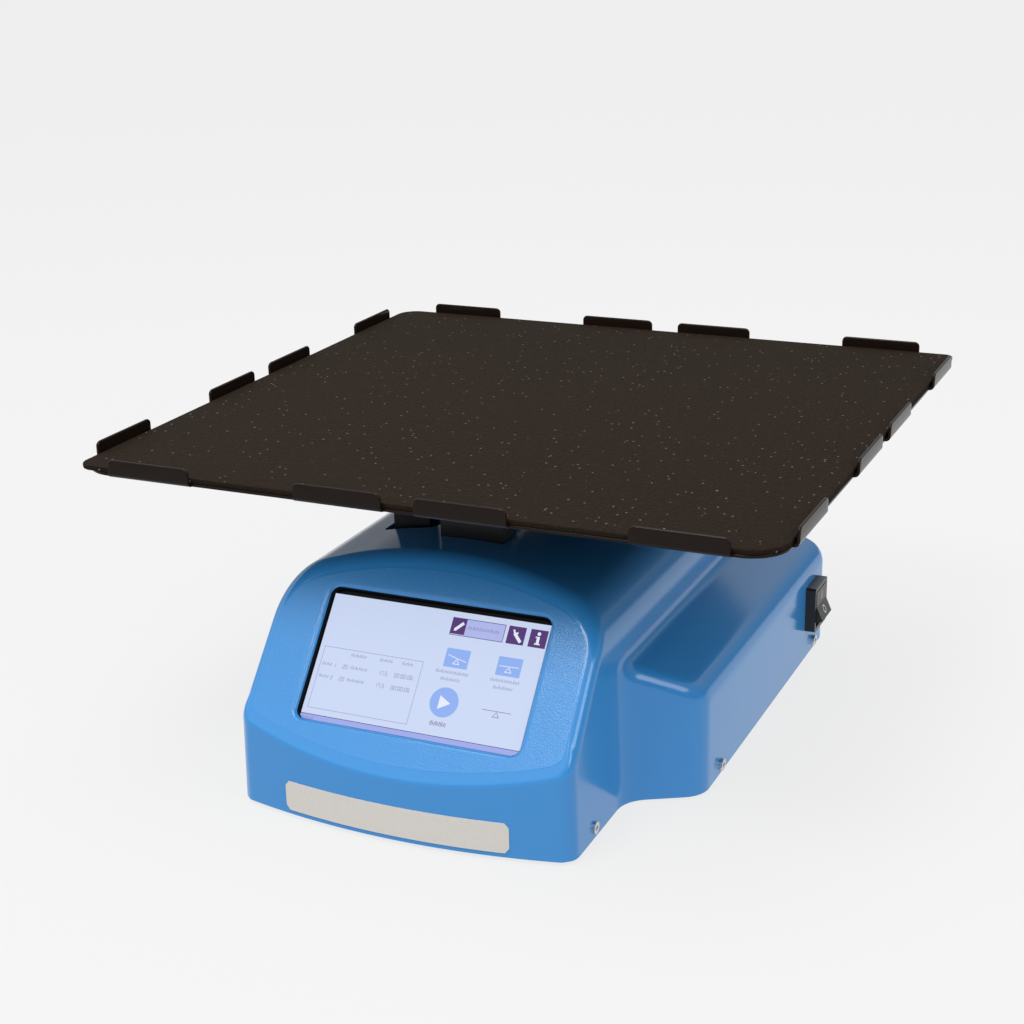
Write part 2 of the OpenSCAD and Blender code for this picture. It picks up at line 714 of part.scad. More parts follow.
module upper_link_pin() in_frame() color(steel) translate([-crank_r, 0, axis_z]) {
  bar_y(pin_r, lug_front - eps, lug_back + 1.5);
  bar_y(pin_r + 2, lug_front - 1.5, lug_front);
  // retaining ring behind the back lug
  bar_y(pin_r + 2.5, lug_back + 0.1, lug_back + 0.9);
}

// screw places of the tray, for the two clamp brackets and the lever bracket
tray_screw_at = concat(
  [for (s = [-1, 1], x = [-1, 1], y = [-1, 1])
    [x * bracket_screw_x, s * (bracket_front - bracket_len / 2) + y * bracket_screw_y]],
  [for (x = [-1, 1]) [-crank_r + x * lever_screw_x, link_mid]]);

module tray_screws() in_frame() color(steel) for (p = tray_screw_at) translate([p.x, p.y, 0]) {
  translate([0, 0, sheet_top_z - sheet_t]) cylinder(r1 = m4_r + 0.2, r2 = m4_r + sheet_t + 0.2, h = sheet_t);
  translate([0, 0, sheet_z - bracket_flange_t - 1]) cylinder(r = m4_r, h = bracket_flange_t + 1 + eps);
}

// one upturned tab with its bend, on the -Y edge
module tray_tab() intersection() {
  along_x(-tab_len / 2, tab_len / 2) {
    difference() {
      translate([-tray_half + bend_out, sheet_z + bend_out]) circle(r = bend_out);
      translate([-tray_half + bend_out, sheet_z + bend_out]) circle(r = bend_r);
      translate([-tray_half + bend_out, sheet_z - 1]) square([bend_out * 2, bend_out * 3]);
      translate([-tray_half - 1, sheet_z + bend_out]) square([bend_out * 3, bend_out * 2]);
    }
    translate([-tray_half, sheet_z + bend_out - eps]) square([sheet_t, tab_h - bend_out + eps]);
  }
  along_y(-tray_half - 1, -tray_half + 2 * bend_out) {
    translate([0, sheet_z + tab_h / 2]) round_rect(tab_len, tab_h, tab_corner_r);
    translate([-tab_len / 2, sheet_z]) square([tab_len, tab_h / 2]);
  }
}

module tray_sheet() in_frame() color(black) difference() {
  union() {
    translate([0, 0, sheet_z]) linear_extrude(sheet_t) {
      round_rect(2 * edge_half, 2 * edge_half, tray_corner_r);
    }
    for (a = [0:90:270], x = [-tab_outer, -tab_inner, tab_inner, tab_outer])
      rotate(a) translate([x, 0, 0]) tray_tab();
  }
  for (p = tray_screw_at) translate([p.x, p.y, sheet_z]) {
    translate([0, 0, -1]) cylinder(r = m4_r + 0.2, h = sheet_t + 1);
    cylinder(r1 = m4_r + 0.25, r2 = m4_r + sheet_t + 0.25, h = sheet_t + eps);
  }
}

module rubber_mat() in_frame() color("#3a322c") translate([0, 0, sheet_top_z])
  linear_extrude(mat_t) round_rect(2 * mat_half, 2 * mat_half, tray_corner_r);

// ---- link and crank ----

module link_bar() in_frame() color(black) difference() {
  along_y(link_y, link_back) translate([-crank_r, 0]) {
    translate([-link_w / 2, crank_z]) square([link_w, axis_z - crank_z]);
    for (z = [crank_z, axis_z]) translate([0, z]) circle(r = link_w / 2);
  }
  for (z = [crank_z, axis_z]) translate([-crank_r, 0, z]) bar_y(bush_r, link_y - 1, link_back + 1);
  // slim waist on both faces between the eyes
  for (y = [link_y - 1, link_back - 1.5]) along_y(y, y + 2.5)
    translate([-crank_r, (crank_z + axis_z) / 2 - 12]) round_rect(link_w - 8, 34, 4);
}

module link_bushes() in_frame() color("#b08d57") for (z = [crank_z, axis_z])
  translate([-crank_r, 0, z]) difference() {
    bar_y(bush_r - seat_fit, link_y - 0.5, link_back + 0.5);
    bar_y(pin_r + run_fit, link_y - 1, link_back + 1);
  }

module crank_arm() in_frame() color("#a9adb2") difference() {
  along_y(arm_front, arm_back) {
    translate([0, crank_z]) circle(r = arm_hub_r);
    translate([-crank_r, crank_z]) circle(r = arm_eye_r);
    translate([-crank_r, crank_z - arm_eye_r]) square([crank_r, 2 * arm_eye_r]);
  }
  translate([0, 0, crank_z]) bar_y(crank_shaft_r + run_fit, arm_front - 1, arm_back + 1);
  translate([-crank_r, 0, crank_z]) bar_y(pin_r + run_fit, arm_front - 1, arm_back + 1);
  // clamp slit beside the shaft
  translate([0, arm_front - 1, crank_z - 0.75]) cube([arm_hub_r + 1, arm_t + 2, 1.5]);
}

module crank_pin() in_frame() color(steel) translate([-crank_r, 0, crank_z]) {
  bar_y(pin_r, link_y - 1.2, arm_back);
  bar_y(pin_r + 2.5, link_y - 1.8, link_y - 1);
}

module crank_shaft() in_frame() color(steel) translate([0, 0, crank_z])
  bar_y(crank_shaft_r, arm_front, pulley_back + 1);

module home_flag() in_frame() color("#d0d2d4") difference() {
  along_y(arm_back, arm_back + flag_t) translate([0, crank_z]) {
    circle(r = arm_hub_r - 1);
    intersection() {
      circle(r = flag_r);
      polygon([[0, 0], [-flag_r * tan(16), flag_r * 1.1], [flag_r * tan(16), flag_r * 1.1]]);
    }
  }
  translate([0, 0, crank_z]) bar_y(crank_shaft_r + run_fit, arm_back - 1, arm_back + flag_t + 1);
}

// toothed pulley on the Y axis: a hub disc with a round-bottomed groove at each pitch
module toothed_pulley(r, teeth, bore_r, y0, w) difference() {
  bar_y(r - 0.6, y0, y0 + w);
  bar_y(bore_r, y0 - 1, y0 + w + 1);
  for (i = [0:teeth - 1]) rotate([0, i * 360 / teeth, 0]) translate([0, 0, r - 0.6])
    bar_y(1.3, y0 - 1, y0 + w + 1);
}

module driven_pulley() in_frame() color("#8d9298") translate([0, 0, crank_z]) difference() {
  toothed_pulley(driven_r, driven_teeth, crank_shaft_r + run_fit, pulley_front, pulley_w);
  for (a = [30:60:330]) rotate([0, a, 0]) translate([17, 0, 0]) bar_y(4.2, pulley_front - 1, pulley_back + 1);
}

module crank_block() in_frame() color("#9ea3a8") difference() {
  union() {
    along_y(block_front, block_back) {
      translate([0, crank_z]) circle(r = block_r);
      translate([-block_r, base_top_z]) square([2 * block_r, crank_z - base_top_z]);
    }
    translate([-block_foot_w / 2, block_front, base_top_z]) cube([block_foot_w, block_len, block_foot_h]);
  }
  translate([0, 0, crank_z]) {
    bar_y(crank_bearing_r, block_front - 1, block_front + crank_bearing_w);
    bar_y(crank_bearing_r, block_back - crank_bearing_w, block_back + 1);
    bar_y(crank_bearing_r - 3, block_front, block_back);
  }
  for (x = [-1, 1], y = block_screw_y)
    translate([x * block_screw_x, y, base_top_z - 1]) cylinder(r = m4_r + screw_fit, h = block_foot_h + 2);
  // flat and screw hole on top for the sensor bracket
  translate([-sensor_w / 2 - 1, block_front - 1, sensor_z]) cube([sensor_w + 2, sensor_seat_l, 3]);
  translate([0, sensor_screw_y, sensor_z - 5]) cylinder(r = m3_r + run_fit, h = 6);
}

module crank_bearings() in_frame() color(steel) translate([0, 0, crank_z]) {
  ball_bearing(crank_bearing_r - seat_fit, crank_shaft_r + run_fit, block_front, crank_bearing_w);
  ball_bearing(crank_bearing_r - seat_fit, crank_shaft_r + run_fit, block_back - crank_bearing_w,
               crank_bearing_w);
}

module block_screws() in_frame() color(steel) for (x = [-1, 1], y = block_screw_y)
  translate([x * block_screw_x, y, base_top_z + block_foot_h]) cap_screw(m4_r, block_foot_h + base_t + 3);

sensor_mid = arm_back + flag_t / 2;
sensor_z = crank_z + block_r - 2;
sensor_w = 16;
sensor_back = block_front + 1;
sensor_t = 1.6;
sensor_screw_y = sensor_back + 8;

module sensor_bracket() in_frame() color(steel) difference() {
  union() {
    translate([-sensor_w / 2, sensor_back, sensor_z]) cube([sensor_w, 13, sensor_t]);
    translate([-sensor_w / 2, sensor_back, sensor_z]) cube([sensor_w, sensor_t, 18]);
  }
  translate([0, sensor_screw_y, sensor_z - 1]) cylinder(r = m3_r + screw_fit, h = sensor_t + 2);
}

module sensor_screw() in_frame() color(steel) translate([0, sensor_screw_y, sensor_z + sensor_t])
  pan_screw(m3_r, sensor_t + 4, 2.8, 2);

// forked light gate that the flag passes through
module home_sensor() in_frame() color(black) difference() {
  translate([-7, sensor_mid - 4.5, sensor_z + 4]) cube([14, sensor_back - sensor_mid + 4.5, 15]);
  translate([-8, sensor_mid - 1.8, sensor_z + 3]) cube([16, 3.6, 11]);
}

// ---- belt and motor ----

belt_dir = atan2(motor_z - crank_z, motor_x);
belt_c = sqrt(pow(motor_x, 2) + pow(motor_z - crank_z, 2));
belt_lean = acos((driven_r - motor_r) / belt_c);

// points of an arc about c from angle a0 to a1
function arc_points(c, r, a0, a1, n) =
  [for (i = [0:n]) c + r * [cos(a0 + (a1 - a0) * i / n), sin(a0 + (a1 - a0) * i / n)]];

// loop round both pulleys, g away from them
function belt_loop(g) = concat(
  arc_points([0, crank_z], driven_r - 0.6 + g, belt_dir + belt_lean, belt_dir + 360 - belt_lean, 60),
  arc_points([motor_x, motor_z], motor_r - 0.6 + g, belt_dir - belt_lean, belt_dir + belt_lean, 24));

module drive_belt() in_frame() color("#26262a") along_y(belt_y, belt_y + belt_w) difference() {
  polygon(belt_loop(belt_gap + belt_t));
  polygon(belt_loop(belt_gap));
}

module motor_pulley() in_frame() color("#8d9298") translate([motor_x, 0, motor_z])
  toothed_pulley(motor_r, motor_teeth, motor_shaft_r + run_fit, pulley_front, pulley_w);

module motor_shaft() in_frame() color(steel) translate([motor_x, 0, motor_z])
  bar_y(motor_shaft_r, pulley_front + 1, motor_y + motor_grip);

module stepper_motor() in_frame() color("#2a2c2f") translate([motor_x, 0, motor_z]) difference() {
  union() {
    along_y(motor_y, motor_y + motor_cap) round_rect(motor_w, motor_w, 4);
    along_y(motor_y + motor_cap, motor_y + motor_len - motor_tail) intersection() {
      square([motor_w - 1.6, motor_w - 1.6], center = true);
      rotate(45) square([motor_w * 1.26, motor_w * 1.26], center = true);
    }
    along_y(motor_y + motor_len - motor_tail, motor_y + motor_len) round_rect(motor_w, motor_w, 4);
    bar_y(motor_pilot_r, motor_y - motor_pilot_h, motor_y + 1);
  }
  bar_y(motor_shaft_r + motor_run_fit, motor_y - motor_pilot_h - 1, motor_y + motor_grip + 1);
  for (sx = [-1, 1], sz = [-1, 1]) translate([sx * motor_hole, 0, sz * motor_hole])
    bar_y(m4_r + run_fit, motor_y - 1, motor_y + motor_grip + 1);
}

module motor_bracket() in_frame() color("#9ea3a8") difference() {
  union() {
    translate([motor_x - motor_w / 2, motor_plate_y, base_top_z])
      cube([motor_w, motor_plate_t, motor_z + motor_w / 2 - base_top_z]);
    translate([motor_x - motor_foot_w / 2, motor_plate_y, base_top_z])
      cube([motor_foot_w, motor_foot_l, motor_foot_t]);
  }
  for (p = motor_foot_at) translate([p.x, p.y, base_top_z - 1])
    cylinder(r = m4_r + screw_fit, h = motor_foot_t + 2);
  translate([motor_x, 0, motor_z]) bar_y(motor_pilot_r + 0.1, motor_plate_y - 1, motor_y + 1);
  for (sx = [-1, 1], sz = [-1, 1]) translate([motor_x + sx * motor_hole, 0, motor_z + sz * motor_hole])
    bar_y(m4_r + screw_fit, motor_plate_y - 1, motor_y + 1);
}

module motor_screws() in_frame() color(steel) for (sx = [-1, 1], sz = [-1, 1])
  translate([motor_x + sx * motor_hole, motor_plate_y, motor_z + sz * motor_hole])
    rotate([90, 0, 0]) pan_screw(m4_r, motor_plate_t + motor_grip, 3.8, 2.6);

module motor_foot_screws() in_frame() color(steel) for (p = motor_foot_at)
  translate([p.x, p.y, base_top_z + motor_foot_t]) pan_screw(m4_r, motor_foot_t + base_t + 3, 3.6, 2.4);

// ---- electronics ----

pcb_w = 80;
pcb_l = 88;
pcb_at = [-66, 36];
pcb_stand = 8;
pcb_z = base_top_z + pcb_stand;
pcb_edge = 4;
pcb_hole = [pcb_w / 2 - pcb_edge, pcb_l / 2 - pcb_edge];
processor_w = 16;
processor_t = 2;
driver_w = 10;
driver_l = 14;
driver_t = 1.8;
relay_w = 18;
relay_l = 12;
relay_h = 6;
coil_w = 12;
coil_h = 9;
header_w = 8;
header_l = 22;
header_h = 10;
plug_w = 30;
plug_l = 7;
plug_h = 9;
trim_w = 6;
trim_h = 4;
can_r = 5;
can_h = 13;
part_r = 0.5;

module controller_board() in_frame() color(green) translate([pcb_at.x, pcb_at.y, pcb_z]) difference() {
  union() {
    linear_extrude(board_t) round_rect(pcb_w, pcb_l, 2);
    // parts on the board: [x, y, width, length, height]
    for (c = [[-processor_w / 2, processor_w / 2 + processor_t, processor_w, processor_w, processor_t],
              [pcb_w / 5, driver_l, driver_w, driver_l, driver_t],
              [relay_w, -relay_l, relay_w, relay_l, relay_h],
              [-pcb_w / 4, -coil_w * 4 / 3, coil_w, coil_w, coil_h],
              [-pcb_hole.x + header_w + 2, pcb_l / 4 - 2, header_w, header_l, header_h],
              [pcb_edge, -pcb_hole.y + pcb_edge, plug_w, plug_l, plug_h],
              [pcb_hole.x - trim_w - 1, pcb_hole.y - pcb_edge, trim_w, trim_w, trim_h]])
      translate([c[0], c[1], board_t - eps]) linear_extrude(c[4]) round_rect(c[2], c[3], part_r);
    for (x = [-1, 1]) translate([2 + x * (can_r + 1), -pcb_l / 4 + pcb_edge, board_t - eps])
      cylinder(r = can_r, h = can_h);
  }
  for (sx = [-1, 1], sy = [-1, 1]) translate([sx * pcb_hole.x, sy * pcb_hole.y, -1])
    cylinder(r = m3_r + screw_fit, h = board_t + 2);
}

module board_standoffs() in_frame() color("#c9b26a") for (sx = [-1, 1], sy = [-1, 1])
  translate([pcb_at.x + sx * pcb_hole.x, pcb_at.y + sy * pcb_hole.y, base_top_z]) difference() {
    cylinder(r = 3.2, h = pcb_z - base_top_z, $fn = 6);
    translate([0, 0, 2]) cylinder(r = m3_r + run_fit, h = pcb_z);
  }

module board_screws() in_frame() color(steel) for (sx = [-1, 1], sy = [-1, 1])
  translate([pcb_at.x + sx * pcb_hole.x, pcb_at.y + sy * pcb_hole.y, pcb_z + board_t])
    pan_screw(m3_r, board_t + pcb_stand - 3.6, 2.8, 2);

module power_jack() in_frame() color(black) translate([jack_at.x, 0, jack_at.y]) difference() {
  union() {
    bar_y(jack_r, rear_y - wall - 12, rear_y + 1.5);
    bar_y(jack_r + 2, rear_y - wall - 3.5, rear_y - wall);
    along_y(rear_y - wall - 16, rear_y - wall - 12 + eps)
      square([2 * jack_r - 1, 2 * jack_r - 1], center = true);
  }
  bar_y(jack_bore_r, rear_y - 12, rear_y + 3);
}

module jack_nut() in_frame() color(steel) translate([jack_at.x, rear_y + jack_nut_t, jack_at.y])
  rotate([90, 0, 0]) difference() {
    cylinder(r = jack_r * 1.5, h = jack_nut_t, $fn = 6);
    translate([0, 0, -1]) cylinder(r = jack_r + run_fit, h = jack_nut_t + 2);
  }

// ---- power switch ----

module switch_body() in_frame() color(black) translate([0, switch_y, switch_z]) difference() {
  union() {
    along_x(side_half, side_half + switch_stand) round_rect(switch_w, switch_h, 1.5);
    along_x(side_half - neck_len, side_half + eps) round_rect(neck_w, neck_h, 1);
    // spade terminals
    for (z = [-7, 0, 7]) translate([side_half - neck_len - 8, -0.4, z - 2.4]) cube([9, 0.8, 4.8]);
  }
  along_x(rocker_x - 6, side_half + switch_stand + 1)
    square([2 * (rocker_half_w + rocker_gap), 2 * (rocker_half_h + rocker_gap)], center = true);
  translate([rocker_x, 0, 0]) bar_y(rocker_pin_r + run_fit, -neck_w / 2 - 1, neck_w / 2 + 1);
}

// half of the rocker in its pressed place: x out of the wall, y up
module rocker_half()
  polygon([[0, 0], [rocker_face, 0], [rocker_face, rocker_half_h], [1.5, rocker_half_h], [0, 5]]);

// the rocker stands with its upper end pressed in, about its own pin
module switch_rocker() in_frame() color("#2c2c2e") translate([rocker_x, switch_y, switch_z]) {
  along_y(-rocker_half_w, rocker_half_w) {
    rocker_half();
    rotate(rocker_travel) mirror([0, 1]) rocker_half();
    circle(r = 4.2);
  }
  bar_y(rocker_pin_r, -neck_w / 2 + 0.1, neck_w / 2 - 0.1);
}

housing_shell();
front_label();
base_plate();
rubber_feet();
foot_screws();
foot_nuts();
housing_screws();
display_gasket();
touch_glass();
display_module();
display_carrier();
display_screws();
display_board();
front_post();
rear_post();
post_screws();
post_nuts();
rocker_bearings();
rocker_shaft();
front_tray_bracket();
rear_tray_bracket();
bracket_set_screws();
lever_bracket();
upper_link_pin();
tray_screws();
tray_sheet();
rubber_mat();
link_bar();
link_bushes();
crank_arm();
crank_pin();
crank_shaft();
home_flag();
driven_pulley();
crank_block();
crank_bearings();
block_screws();
sensor_bracket();
sensor_screw();
home_sensor();
drive_belt();
motor_pulley();
motor_shaft();
stepper_motor();
motor_bracket();
motor_screws();
motor_foot_screws();
controller_board();
board_standoffs();
board_screws();
power_jack();
jack_nut();
switch_body();
switch_rocker();
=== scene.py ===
import json
import math
import bmesh
import bpy
import numpy as np
from mathutils import Matrix, Vector


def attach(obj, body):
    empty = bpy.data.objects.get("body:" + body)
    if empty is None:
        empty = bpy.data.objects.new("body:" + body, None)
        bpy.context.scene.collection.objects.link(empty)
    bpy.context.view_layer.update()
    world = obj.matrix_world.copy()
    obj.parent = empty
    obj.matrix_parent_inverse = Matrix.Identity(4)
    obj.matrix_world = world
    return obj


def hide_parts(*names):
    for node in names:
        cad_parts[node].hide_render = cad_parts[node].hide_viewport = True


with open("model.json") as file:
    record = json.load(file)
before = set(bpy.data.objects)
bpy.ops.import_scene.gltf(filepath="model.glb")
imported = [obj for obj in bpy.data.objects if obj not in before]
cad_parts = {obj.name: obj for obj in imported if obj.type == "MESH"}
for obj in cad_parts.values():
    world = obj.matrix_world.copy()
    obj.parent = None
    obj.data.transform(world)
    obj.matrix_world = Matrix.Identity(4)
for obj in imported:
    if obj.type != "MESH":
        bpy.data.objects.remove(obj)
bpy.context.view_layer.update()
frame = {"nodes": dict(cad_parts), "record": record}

mm = 0.001
trayMiddle = np.array([0.0, 9.7, 0.0])  # lengths are millimetres, drawn about the tray's middle


def makeObject(name, verts, faces, material, body=None, stands=(), smooth=True, sharpDeg=35):
    # verts in millimetres, faces an array of quads or a list of polygons
    mesh = bpy.data.meshes.new(name)
    polys = faces.tolist() if hasattr(faces, "tolist") else faces
    mesh.from_pydata(((np.asarray(verts, float) + trayMiddle) * mm).tolist(), [], polys)
    mesh.validate()
    if smooth:
        outward = bmesh.new()
        outward.from_mesh(mesh)
        bmesh.ops.recalc_face_normals(outward, faces=outward.faces)
        outward.to_mesh(mesh)
        outward.free()
        mesh.shade_smooth()
        mesh.set_sharp_from_angle(angle=math.radians(sharpDeg))
    obj = bpy.data.objects.new(name, mesh)
    bpy.context.scene.collection.objects.link(obj)
    mesh.materials.append(material)
    if body:
        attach(obj, body)
    if stands:
        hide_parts(*stands)
    return obj


def gridFaces(rows, cols, start=0, loop=False):
    # quads between neighbouring points of a grid stored row by row
    i, j = np.meshgrid(np.arange(rows - 1), np.arange(cols - (0 if loop else 1)), indexing="ij")
    a = start + i * cols + j
    b = start + i * cols + (j + 1) % cols
    return np.stack([a, b, b + cols, a + cols], -1).reshape(-1, 4)


def joinParts(parts):
    # one vertex list and one face list from several (verts, faces) pairs
    verts, faces, n = [], [], 0
    for v, q in parts:
        v = np.asarray(v, float).reshape(-1, 3)
        verts.append(v)
        faces.append(np.asarray(q) + n)
        n += len(v)
    return np.concatenate(verts), np.concatenate(faces)


def cleanPolys(quads):
    # a quad with two equal corners next to each other becomes a triangle
    same = (quads == np.roll(quads, -1, axis=1))
    some = same.any(axis=1)
    plain = quads[~some].tolist()
    odd = [[p for k, p in enumerate(q) if not s[k]] for q, s in zip(quads[some].tolist(), same[some])]
    return plain + [q for q in odd if len(set(q)) > 2]


def roundMax(a, b, r, c=0.0):
    # intersection of two distances with a round edge: c is the dot product of the two outward directions
    p, q = a + r, b + r
    w = np.sqrt(np.maximum(p * p + q * q - 2 * c * p * q, 0) / (1 - c * c))
    return np.where((p > c * q) & (q > c * p), w - r, np.maximum(a, b))


def roundMin(a, b, r, c=0.0):
    # union of two distances with a hollow between them
    return -roundMax(-a, -b, r, c)


def newMaterial(name, color, rough=0.4, metal=0.0, **extra):
    # plain shader; extra names other sockets, with _ for a space
    mat = bpy.data.materials.new(name)
    mat.use_nodes = True
    shader = mat.node_tree.nodes["Principled BSDF"]
    shader.inputs["Base Color"].default_value = (*color, 1)
    shader.inputs["Roughness"].default_value = rough
    shader.inputs["Metallic"].default_value = metal
    for key, value in extra.items():
        shader.inputs[key.replace("_", " ")].default_value = value
    return mat


def addNode(mat, kind, **settings):
    # a node with its sockets or settings filled in by name
    node = mat.node_tree.nodes.new(kind)
    for key, value in settings.items():
        if key in node.inputs:
            node.inputs[key].default_value = value
        else:
            setattr(node, key, value)
    return node


def link(mat, a, b):
    # joins an output to an input
    mat.node_tree.links.new(a, b)


def noiseOn(mat, scale, detail=3.0, squash=(1, 1, 1)):
    # object-space noise, squash stretches it along an axis
    coords = addNode(mat, "ShaderNodeTexCoord")
    mapping = addNode(mat, "ShaderNodeMapping")
    mapping.inputs["Scale"].default_value = squash
    noise = addNode(mat, "ShaderNodeTexNoise")
    noise.inputs["Scale"].default_value = scale
    noise.inputs["Detail"].default_value = detail
    link(mat, coords.outputs["Object"], mapping.inputs["Vector"])
    link(mat, mapping.outputs["Vector"], noise.inputs["Vector"])
    return noise


def bumpFrom(mat, source, distance):
    # raises the surface by distance where the source is 1
    bump = addNode(mat, "ShaderNodeBump", Distance=distance)
    link(mat, source, bump.inputs["Height"])
    link(mat, bump.outputs["Normal"], mat.node_tree.nodes["Principled BSDF"].inputs["Normal"])
    return bump


def spreadColor(mat, source, low, high, lo=0.3, hi=0.7):
    # base colour between low and high as the source goes from lo to hi
    ramp = addNode(mat, "ShaderNodeValToRGB")
    ramp.color_ramp.elements[0].position = lo
    ramp.color_ramp.elements[1].position = hi
    ramp.color_ramp.elements[0].color = (*low, 1)
    ramp.color_ramp.elements[1].color = (*high, 1)
    link(mat, source, ramp.inputs["Fac"])
    link(mat, ramp.outputs["Color"], mat.node_tree.nodes["Principled BSDF"].inputs["Base Color"])
    return ramp


def spreadRough(mat, source, low, high):
    # roughness between low and high as the source goes from 0 to 1
    span = addNode(mat, "ShaderNodeMapRange")
    span.inputs["To Min"].default_value = low
    span.inputs["To Max"].default_value = high
    link(mat, source, span.inputs["Value"])
    link(mat, span.outputs["Result"], mat.node_tree.nodes["Principled BSDF"].inputs["Roughness"])


housingLook = dict(
    blue=(0.033, 0.232, 0.57), rough=0.15, fieldRough=0.3,
    wave=260, peel=0.00002, grain=1500, pebble=0.00011,
)


def bluePlastic():
    # glossy and faintly wavy; the attribute "pebble" is 1 on the pebbled part of the panel
    mat = newMaterial("bluePlastic", housingLook["blue"], housingLook["rough"], Specular_IOR_Level=0.5)
    peel = noiseOn(mat, housingLook["wave"], 2.0)
    grain = noiseOn(mat, housingLook["grain"], 1.5)
    field = addNode(mat, "ShaderNodeAttribute", attribute_name="pebble")
    scaled = addNode(mat, "ShaderNodeMath", operation="MULTIPLY")
    link(mat, grain.outputs["Fac"], scaled.inputs[0])
    link(mat, field.outputs["Fac"], scaled.inputs[1])
    first = addNode(mat, "ShaderNodeBump", Distance=housingLook["pebble"])
    link(mat, scaled.outputs["Value"], first.inputs["Height"])
    second = bumpFrom(mat, peel.outputs["Fac"], housingLook["peel"])
    link(mat, first.outputs["Normal"], second.inputs["Normal"])
    spreadRough(mat, field.outputs["Fac"], housingLook["rough"], housingLook["fieldRough"])
    return mat


matLook = dict(
    dark=(0.0128, 0.0078, 0.0043), haze=(0.0235, 0.0155, 0.011), speck=(0.15, 0.125, 0.1),
    fine=1700, cells=420, dimple=0.0006, dust=1100, specks=230, speckSize=0.12, speckFrom=0.45,
)


def matRubber():
    # cells and fine grain raise it, dust hazes it, and the middles of some random cells are pale specks
    mat = newMaterial("matRubber", matLook["dark"], 0.85, Specular_IOR_Level=0.08)
    fine = noiseOn(mat, matLook["fine"], 2.0)
    coords = addNode(mat, "ShaderNodeTexCoord")
    cells = addNode(mat, "ShaderNodeTexVoronoi", Scale=matLook["cells"])
    link(mat, coords.outputs["Object"], cells.inputs["Vector"])
    both = addNode(mat, "ShaderNodeMath", operation="ADD")
    link(mat, fine.outputs["Fac"], both.inputs[0])
    link(mat, cells.outputs["Distance"], both.inputs[1])
    bumpFrom(mat, both.outputs["Value"], matLook["dimple"])
    dust = noiseOn(mat, matLook["dust"], 6.0)
    ramp = spreadColor(mat, dust.outputs["Fac"], matLook["dark"], matLook["haze"], lo=0.5, hi=0.8)
    specks = addNode(mat, "ShaderNodeTexVoronoi", Scale=matLook["specks"])
    link(mat, coords.outputs["Object"], specks.inputs["Vector"])
    near = addNode(mat, "ShaderNodeMath", operation="LESS_THAN")
    near.inputs[1].default_value = matLook["speckSize"]
    link(mat, specks.outputs["Distance"], near.inputs[0])
    split = addNode(mat, "ShaderNodeSeparateColor")
    link(mat, specks.outputs["Color"], split.inputs["Color"])
    few = addNode(mat, "ShaderNodeMath", operation="GREATER_THAN")
    few.inputs[1].default_value = matLook["speckFrom"]
    link(mat, split.outputs[0], few.inputs[0])
    shown = addNode(mat, "ShaderNodeMath", operation="MULTIPLY")
    link(mat, near.outputs["Value"], shown.inputs[0])
    link(mat, few.outputs["Value"], shown.inputs[1])
    mixed = addNode(mat, "ShaderNodeMixRGB")
    mixed.inputs["Color2"].default_value = (*matLook["speck"], 1)
    link(mat, shown.outputs["Value"], mixed.inputs["Fac"])
    link(mat, ramp.outputs["Color"], mixed.inputs["Color1"])
    link(mat, mixed.outputs["Color"], mat.node_tree.nodes["Principled BSDF"].inputs["Base Color"])
    return mat


def plainMetal(name, color, rough=0.3, brush=(1, 1, 1), scale=900, metal=1.0, bump=0.00002, spread=0.15):
    # brush stretches the grain along the axes with the small numbers
    mat = newMaterial(name, color, rough, metal)
    noise = noiseOn(mat, scale, 4.0, brush)
    spreadRough(mat, noise.outputs["Fac"], rough - spread / 2, rough + spread)
    bumpFrom(mat, noise.outputs["Fac"], bump)
    return mat


def plainPlastic(name, color, rough=0.45, scale=1400, bump=0.00003, vary=0.25, spec=0.5):
    # fine grain that darkens by vary and raises by bump
    mat = newMaterial(name, color, rough, Specular_IOR_Level=spec)
    noise = noiseOn(mat, scale, 3.0)
    darker = tuple(c * (1 - vary) for c in color)
    spreadColor(mat, noise.outputs["Fac"], darker, color)
    bumpFrom(mat, noise.outputs["Fac"], bump)
    return mat


